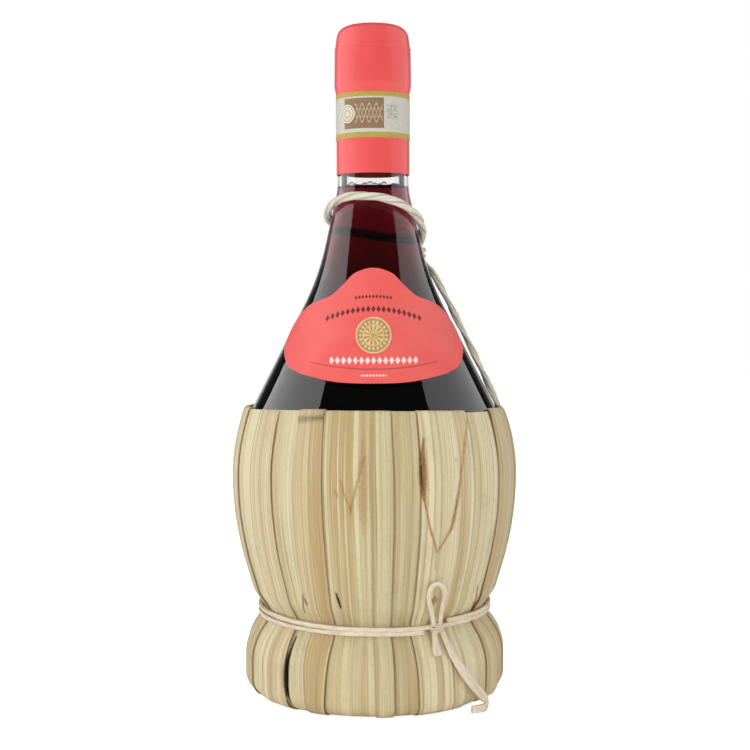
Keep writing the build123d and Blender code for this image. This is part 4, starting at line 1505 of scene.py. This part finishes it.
# Painted shade on the upper belly at the front: its middle turn, its spread and how much it darkens the tone
SHADED_FRONT_TURN = -97
SHADED_FRONT_SPREAD = 15
SHADED_FRONT_TONE = 0.28
RIM_RISE = 2.4 * MM
RIM_RISE_TURN = -98
RIM_RISE_SPREAD = 58

# How pale, grey and pink the strips at the front are, by their order from the front going round
LEAF_TONES = {
    0: (0.62, 0.55, 0.0),
    1: (0.30, 0.60, 0.0),
    2: (0.72, 0.10, 0.1),
    3: (0.70, 0.00, 0.1),
    4: (0.45, 0.10, 0.4),
    5: (0.60, 0.15, 0.2),
    21: (0.85, 0.00, 0.1),
    22: (0.50, 0.10, 0.45),
    23: (0.85, 0.35, 0.0),
    # Strip 24 is darker partly for its own tan and partly as painted shade, as if it lay under its neighbours
    24: (0.26, 0.15, 0.35),
    25: (0.60, 0.25, 0.0),
}

# The strip whose folded end shows below the rim, with the height of its edge
FOLDED_ENDS = {24: 107.0 * MM}

# Splits and stains read off the photograph: line of (turn, z) in degrees and millimetres, half width, how
# deep they open, how ochre they are, and how dark the painted shade in their opening is
SPLITS = (
    (((-70.5, 101.5), (-71.5, 96.5), (-71.5, 89.5), (-71.5, 83.5), (-70.5, 78.5)), 1.5, 0.32, 1.0, 0.25),
    (((-72, 92.5), (-72, 88.5), (-71.5, 84)), 0.35, 0.3, 0.4, 0.9),
    (((-70.5, 78.5), (-68.5, 70.5), (-65, 61.5)), 0.50, 0.12, 0.85, 0.05),
    (((-48.5, 108), (-52.5, 99), (-55, 90.5)), 0.60, 0.15, 0.80, 0.0),
    (((-55, 91.5), (-56.5, 82.5), (-59, 70), (-64, 62)), 0.75, 0.15, 0.95, 0.05),
    (((-65, 63), (-65, 55)), 0.5, 0.05, 0.45, 0.0),
    (((-102.5, 88), (-101, 82.5), (-99, 78.5)), 0.42, 0.15, 0.55, 0.1),
    (((-93.5, 96.5), (-95, 91.5), (-97, 84.5), (-99, 76.5)), 0.40, 0.15, 0.70, 0.15),
    (((-94, 104), (-94.5, 84), (-93.5, 68)), 1.9, 0.0, 0.28, 0.0),
    (((-130, 27.5), (-130.5, 19), (-130.5, 10), (-128.5, 2)), 0.9, 0.6, 0.0, 2.2),
    (((-106.5, 46.5), (-105, 41)), 0.55, 0.5, 0.0, 2.2),
    (((-123, 44), (-121, 41)), 0.75, 0.25, 0.85, 0.3),
    (((-123, 44), (-125, 37)), 0.25, 0.2, 0.6, 0.6),
    (((-37, 45.5), (-34.5, 38.5), (-31, 33)), 0.75, 0.2, 0.85, 0.25),
    (((-63, 44.5), (-63.5, 41)), 1.3, 0.1, 0.75, 0.1),
    (((-105, 85), (-103.5, 82)), 0.7, 0.0, 0.5, 0.0),
)
LEAST_SPLIT = 0.42 * MM
SPLIT_SOFT = 0.44 * MM


def leaf_edges():
    """The turn of each boundary between strips, going round."""
    turns = [FIRST_LEAF_TURN]
    for span in LEAF_SPANS:
        turns.append(turns[-1] + span)
    return turns


def edge_wander(boundary, length):
    """How far a boundary strays sideways at a length down the wrap, in degrees."""
    slow = noise_at(boundary * 3.7, length * 14, 0.5)
    fast = noise_at(boundary * 9.1, length * 55, 4.5)
    lean = noise_at(boundary * 5.3, 0.0, 9.5)
    flare = noise_at(boundary * 7.7, 2.0, 3.5)
    return slow + 0.3 * fast + lean * (length - LEAN_FROM) * 30 + 170 * flare * max(0.0, length - FLARE_FROM)


class Lanes:
    """Folds along a strip: lines across its width with lanes between, each with its height and tone."""

    def __init__(self, rng, width, lane, height, spread):
        count = max(2, round(width / lane))
        cuts = [(step + rng.uniform(0.22, 0.78)) / count for step in range(count)]
        self.cuts = np.array([-0.02, *cuts, 1.02])
        self.middle = self.cuts.copy()
        self.sway = 0.22 / count
        self.seed = rng.uniform(0, 50)
        self.heights = np.array([rng.uniform(-height, height) for _ in self.cuts])
        self.marks = np.array([rng.uniform(0.1, 1.0) ** 1.5 for _ in cuts])
        self.tones = np.array([rng.uniform(-spread, spread) for _ in range(count + 1)])
        self.width = width

    def settle(self, down):
        """Let the fold lines stray a little at this length down the strip."""
        for k in range(1, len(self.cuts) - 1):
            self.cuts[k] = self.middle[k] + self.sway * 2 * noise_at(k * 5.1, down * 17, self.seed)

    def height(self, shares):
        return np.interp(shares, self.cuts, self.heights)

    def tone(self, shares):
        soft = LANE_SOFT / self.width
        places = np.stack([self.cuts[:-1] + soft, self.cuts[1:] - soft], 1).ravel()
        return np.interp(shares, places, np.repeat(self.tones, 2))

    def crease(self, shares):
        """1 on the fold lines that show, fading within a fraction of a millimetre."""
        far = np.abs(shares[:, None] - self.cuts[None, 1:-1]) * self.width
        return np.max(self.marks * bell(far, FOLD_WIDTH), axis=1)


class LeafPath:
    """Where the middle of a strip's thickness runs: up inside the rim, over it and down outside."""

    def __init__(self, offset):
        self.offset = offset
        self.fold = math.pi * offset
        self.outside = HEM_LENGTH + self.fold
        self.total = self.outside + WRAP.length

    def at(self, length):
        """Point (r, z), outward direction (r, z) and the length down the outer side."""
        if length < HEM_LENGTH:
            up = HEM_LENGTH - length
            r, z, lean = WRAP.at(up, HEM_MIDDLE_DEPTH + self.offset)
            return (r, z), (-math.cos(lean), -math.sin(lean)), -up
        if length < self.outside:
            r, z, lean = WRAP.at(0.0, HEM_MIDDLE_DEPTH)
            swing = math.pi * (length - HEM_LENGTH) / self.fold
            way = (
                -math.cos(lean) * math.cos(swing) - math.sin(lean) * math.sin(swing),
                -math.sin(lean) * math.cos(swing) + math.cos(lean) * math.sin(swing),
            )
            return (r + way[0] * self.offset, z + way[1] * self.offset), way, 0.0
        down = min(length - self.outside, WRAP.length)
        r, z, lean = WRAP.at(down, HEM_MIDDLE_DEPTH - self.offset)
        return (r, z), (math.cos(lean), math.sin(lean)), down


def line_marks(turns, radius, height):
    """How deep, how ochre and how dark with painted shade each place of a row is, by its distance from the
    lines above.
    """
    deep, ochre, dark = np.zeros((3, len(turns)))
    for line, half, depth, gold, black in SPLITS:
        nearest, share = np.full(len(turns), 1.0), np.zeros(len(turns))
        for number, (first, last) in enumerate(zip(line, line[1:])):
            x, y = np.radians(turns - first[0]) * radius, height - first[1] * MM
            run_x, run_y = math.radians(last[0] - first[0]) * radius, (last[1] - first[1]) * MM
            along = np.clip((x * run_x + y * run_y) / (run_x**2 + run_y**2), 0, 1)
            far = np.hypot(x - along * run_x, y - along * run_y)
            closer = far < nearest
            nearest = np.where(closer, far, nearest)
            share = np.where(closer, (number + along) / (len(line) - 1), share)
        reach = np.maximum(LEAST_SPLIT, half * MM * np.sin(np.pi * np.clip(share, 0, 1)) ** 0.8)
        inside = np.clip((reach - nearest) / SPLIT_SOFT + 0.4, 0, 1)
        deep = np.maximum(deep, depth * inside)
        ochre = np.maximum(ochre, gold * inside)
        dark = np.maximum(dark, np.clip(black * np.clip(1.2 - nearest / reach, 0, 1), 0, 1))
    return deep, ochre, dark


def front_rise(turn):
    """How much higher the wrap's rim stands round the front."""
    return RIM_RISE * bell(turn - RIM_RISE_TURN, RIM_RISE_SPREAD)


def foot_stain(z, across, index):
    """Warm brown where a strip turns in under the base."""
    edge = np.array([0.5 + 0.5 * noise_at(u / STAIN_WIDTH, index * 2.0, 6.0) for u in across])
    return 0.75 * np.clip(1 - z / ((1.2 + 2.8 * edge) * MM), 0, 1)


def grain_noise(rows, columns):
    """Noise over a grid, from a column of lengths and a row of places across."""
    return np.array([[noise_at(across, down, 0.7) for across in columns] for down in rows])


def make_leaf(index, turns, material):
    """One strip, lapped over or under its neighbours, folded along its fibres and curled at its edges."""
    rng = random.Random(300 + index)
    on_top = index % 2 == 0
    path = LeafPath(UPPER_OFFSET if on_top else UNDER_OFFSET)
    count = int(path.total / LEAF_STEP)
    lap = 0.0 if on_top else LEAF_OVERLAP
    span = turns[index + 1] - turns[index] + 2 * lap
    strip_width = math.radians(span) * WRAP_BELLY_RADIUS
    middle = (turns[index] + turns[index + 1]) / 2
    facing = abs(math.remainder(middle - FRONT, 360)) < FRONT_HALF_TURN
    columns = max(10, round(strip_width / (FRONT_COLUMN if facing else BACK_COLUMN)))
    shares = np.linspace(0, 1, columns + 1)
    across = shares * strip_width
    made_up = (rng.uniform(0.3, 0.85), rng.uniform(0, 0.4), rng.uniform(0, 0.5))
    pale, grey, pink = LEAF_TONES.get(index, made_up)
    belly = Lanes(rng, strip_width, *BELLY_LANES)
    foot = Lanes(rng, strip_width, *FOOT_LANES)
    edge_lift = [rng.uniform(0.0, MOST_CURL) if on_top else 0.0 for _ in range(2)]
    glooms = [rng.uniform(0.15, 0.75) for _ in range(2)]
    crown = rng.uniform(-0.10, 0.30) * MM
    rim_rise = rng.uniform(-0.5, 0.7) * MM
    rows = [path.at(path.total * row / count) for row in range(count + 1)]
    downs = np.array([down for _, _, down in rows])
    ribs = grain_noise(downs * 9, across / RIB_WIDTH + index * 13.7)
    swell = grain_noise(downs * 22, across / SWELL_WIDTH + index * 7.3)
    crumple = grain_noise(downs * 170, across / CRUMPLE_WIDTH + index * 3.1)
    grid, uv, looks = [], [], {"tone": [], "edge": [], "crease": [], "stain": [], "shade": []}
    for row, ((r, z), way, down) in enumerate(rows):
        left = turns[index] + edge_wander(index, down) - lap
        right = turns[index + 1] + edge_wander((index + 1) % len(LEAF_SPANS), down) + lap
        turn = np.mod(left + (right - left) * shares + 270, 360) - 270
        radius = max(r, LEAST_RADIUS)
        width = math.radians(right - left) * radius
        from_left, from_right = shares * width, (1 - shares) * width
        from_edge = np.minimum(from_left, from_right)
        near_rim, near_waist = bell(down, RIM_ZONE), bell(z - WAIST_Z, WAIST_ZONE)
        to_foot = smooth_step(*FOOT_ZONE, z) if down > 0 else 0.0
        under = smooth_step(*UNDER_ZONE, z)
        belly.settle(down)
        foot.settle(down)
        lift = RIB_RELIEF * ribs[row] + SWELL_RELIEF * swell[row]
        lift += (1 - to_foot) * belly.height(shares) + to_foot * (1 - under) * foot.height(shares)
        lift += near_waist * (WAIST_CRUMPLE * crumple[row] + WAIST_SWELL * swell[row])
        lift += near_rim * RIM_CRUMPLE * crumple[row]
        lift += crown * (1 - (2 * shares - 1) ** 2) * (1 - 0.7 * near_waist)
        folds = (1 - to_foot) * belly.crease(shares) + to_foot * foot.crease(shares)
        lift -= FOLD_DEPTH * folds
        loose = [0.7 + 0.9 * noise_at(down * 26, index * 3.3 + side, 5.5) for side in range(2)]
        curl = edge_lift[0] * loose[0] * np.clip(1 - from_left / CURL_WIDTH, 0, 1) ** 2
        curl += edge_lift[1] * loose[1] * np.clip(1 - from_right / CURL_WIDTH, 0, 1) ** 2
        hidden = math.radians(LEAF_OVERLAP) * radius
        if on_top:
            lift = np.where(from_edge < FLAT_EDGE, np.maximum(lift, LEAST_EDGE_LIFT), lift)
        else:
            lift *= smooth_step(hidden * 0.8, hidden + LAP_EASE, from_edge)
        lift += curl
        deep, ochre, dark = line_marks(turn, radius, z) if down > 0 else np.zeros((3, len(turn)))
        lift -= deep * MM * (1.0 if on_top else 0.7)
        if down <= 0:
            lift *= 0.25
        lift = np.clip(lift, LEAST_LIFT, MOST_LIFT)
        if z < FLOOR_ZONE:
            lift = np.minimum(lift, 0.0)
        # Painted shadow below the folded end, and painted shade beside the strips that lie on this one
        shadow = np.zeros(len(turn))
        if index in FOLDED_ENDS and down > 0:
            below = (FOLDED_ENDS[index] - z) / MM + 0.6 * shares
            lift += FOLDED_END_LIFT * np.clip(0.5 - below, 0, 1)
            shadow = 0.62 * bell(below - 0.3, 0.75)
        if not on_top and down > 0:
            gap = np.clip(from_edge - hidden, 0, 1)
            gloom = np.where(shares < 0.5, *glooms) * (0.75 + 0.5 * noise_at(down * 30, index, 2.2))
            shadow = np.maximum(shadow, gloom * np.exp(-gap / GAP_SHADE))
        rise = rim_rise * near_rim * (1 if down >= 0 else 0.0)
        level = z + front_rise(turn) * bell(down, RISE_ZONE)
        place_z = np.maximum(level + way[1] * lift + rise * abs(way[0]), 0.0)
        for radial, angle, height in zip(r + way[0] * lift, np.radians(turn), place_z):
            point, out = round_axis(radial, angle, height), round_axis(way[0], angle, way[1])
            grid.append((Vector(point), Vector(out)))
        length = path.total * row / count
        uv += [(u + index * 0.1, length) for u in across]
        # Painted shade: the tone is darkened on the upper belly at the front, where less light falls
        front_shade = SHADED_FRONT_TONE * smooth_step(*SHADED_FRONT_ZONE, z) * bell(turn - SHADED_FRONT_TURN, SHADED_FRONT_SPREAD)
        looks["tone"] += list(pale + (1 - to_foot) * belly.tone(shares) + to_foot * foot.tone(shares) - front_shade)
        looks["edge"] += list(np.clip(1 - from_edge / DARK_EDGE, 0, 1))
        looks["crease"] += list(folds)
        looks["stain"] += list(np.minimum(ochre + foot_stain(z, across, index), 1.0))
        looks["shade"] += list(np.minimum(np.maximum(dark, shadow), 1.0))
    looks |= {"grey": [grey] * len(grid), "pink": [pink] * len(grid)}
    make_shell(f"leaf_{index + 1:02d}", grid, columns + 1, count + 1, material, uv, looks)


def make_shell(node, grid, wide, tall, material, uv, looks):
    """A thin strip from a grid of points with their outward directions."""
    half = LEAF_THICKNESS / 2
    vertices = [point + out * half for point, out in grid]
    vertices += [point - out * half for point, out in grid]
    vertices = [(v.x, v.y, max(v.z, 0.0)) for v in vertices]
    faces = sheet_faces(wide, tall)
    piece = new_piece(f"{node}_strip", vertices, faces, material, (node,), sharp=55)
    set_uv(piece, uv * 2)
    for name, values in looks.items():
        set_attribute(piece, name, values * 2)


BAND_SEGMENTS = 180
BAND_HALF_THICKNESS = 0.22 * MM
BAND_LIFT = 0.4 * MM
BAND_STEP = 0.7 * MM
BAND_LOOKS = {"tone": 0.4, "edge": 0.1, "shade": 0.1}


def make_rim_band(material):
    low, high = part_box("rim_band")
    end = low[2] + BAND_LIFT
    depths = (HEM_MIDDLE_DEPTH - BAND_HALF_THICKNESS, HEM_MIDDLE_DEPTH + BAND_HALF_THICKNESS)
    outer, inner = (WRAP.points(BAND_STEP, end=end, depth=depth) for depth in depths)
    profile = outer + inner[::-1]
    piece = lathe("rim_band_leaf", profile, material, ("rim_band",), BAND_SEGMENTS, 60)
    places = [vertex.co for vertex in piece.data.vertices]
    set_uv(piece, [(place.z, math.atan2(place.y, place.x) * high[0]) for place in places])
    for name, value in BAND_LOOKS.items():
        set_attribute(piece, name, [value] * len(places))


def make_wrap():
    material = leaf_material()
    turns = leaf_edges()
    for index in range(len(LEAF_SPANS)):
        make_leaf(index, turns, material)
    make_rim_band(material)
    make_rush_ring()


bpy.context.scene.view_settings.view_transform = "Standard"
make_camera()
make_cords()
make_lights()
make_world()
make_floor()
make_glass()
make_wine()
make_capsule()
make_strip()
make_label()
make_cork()
make_wrap()
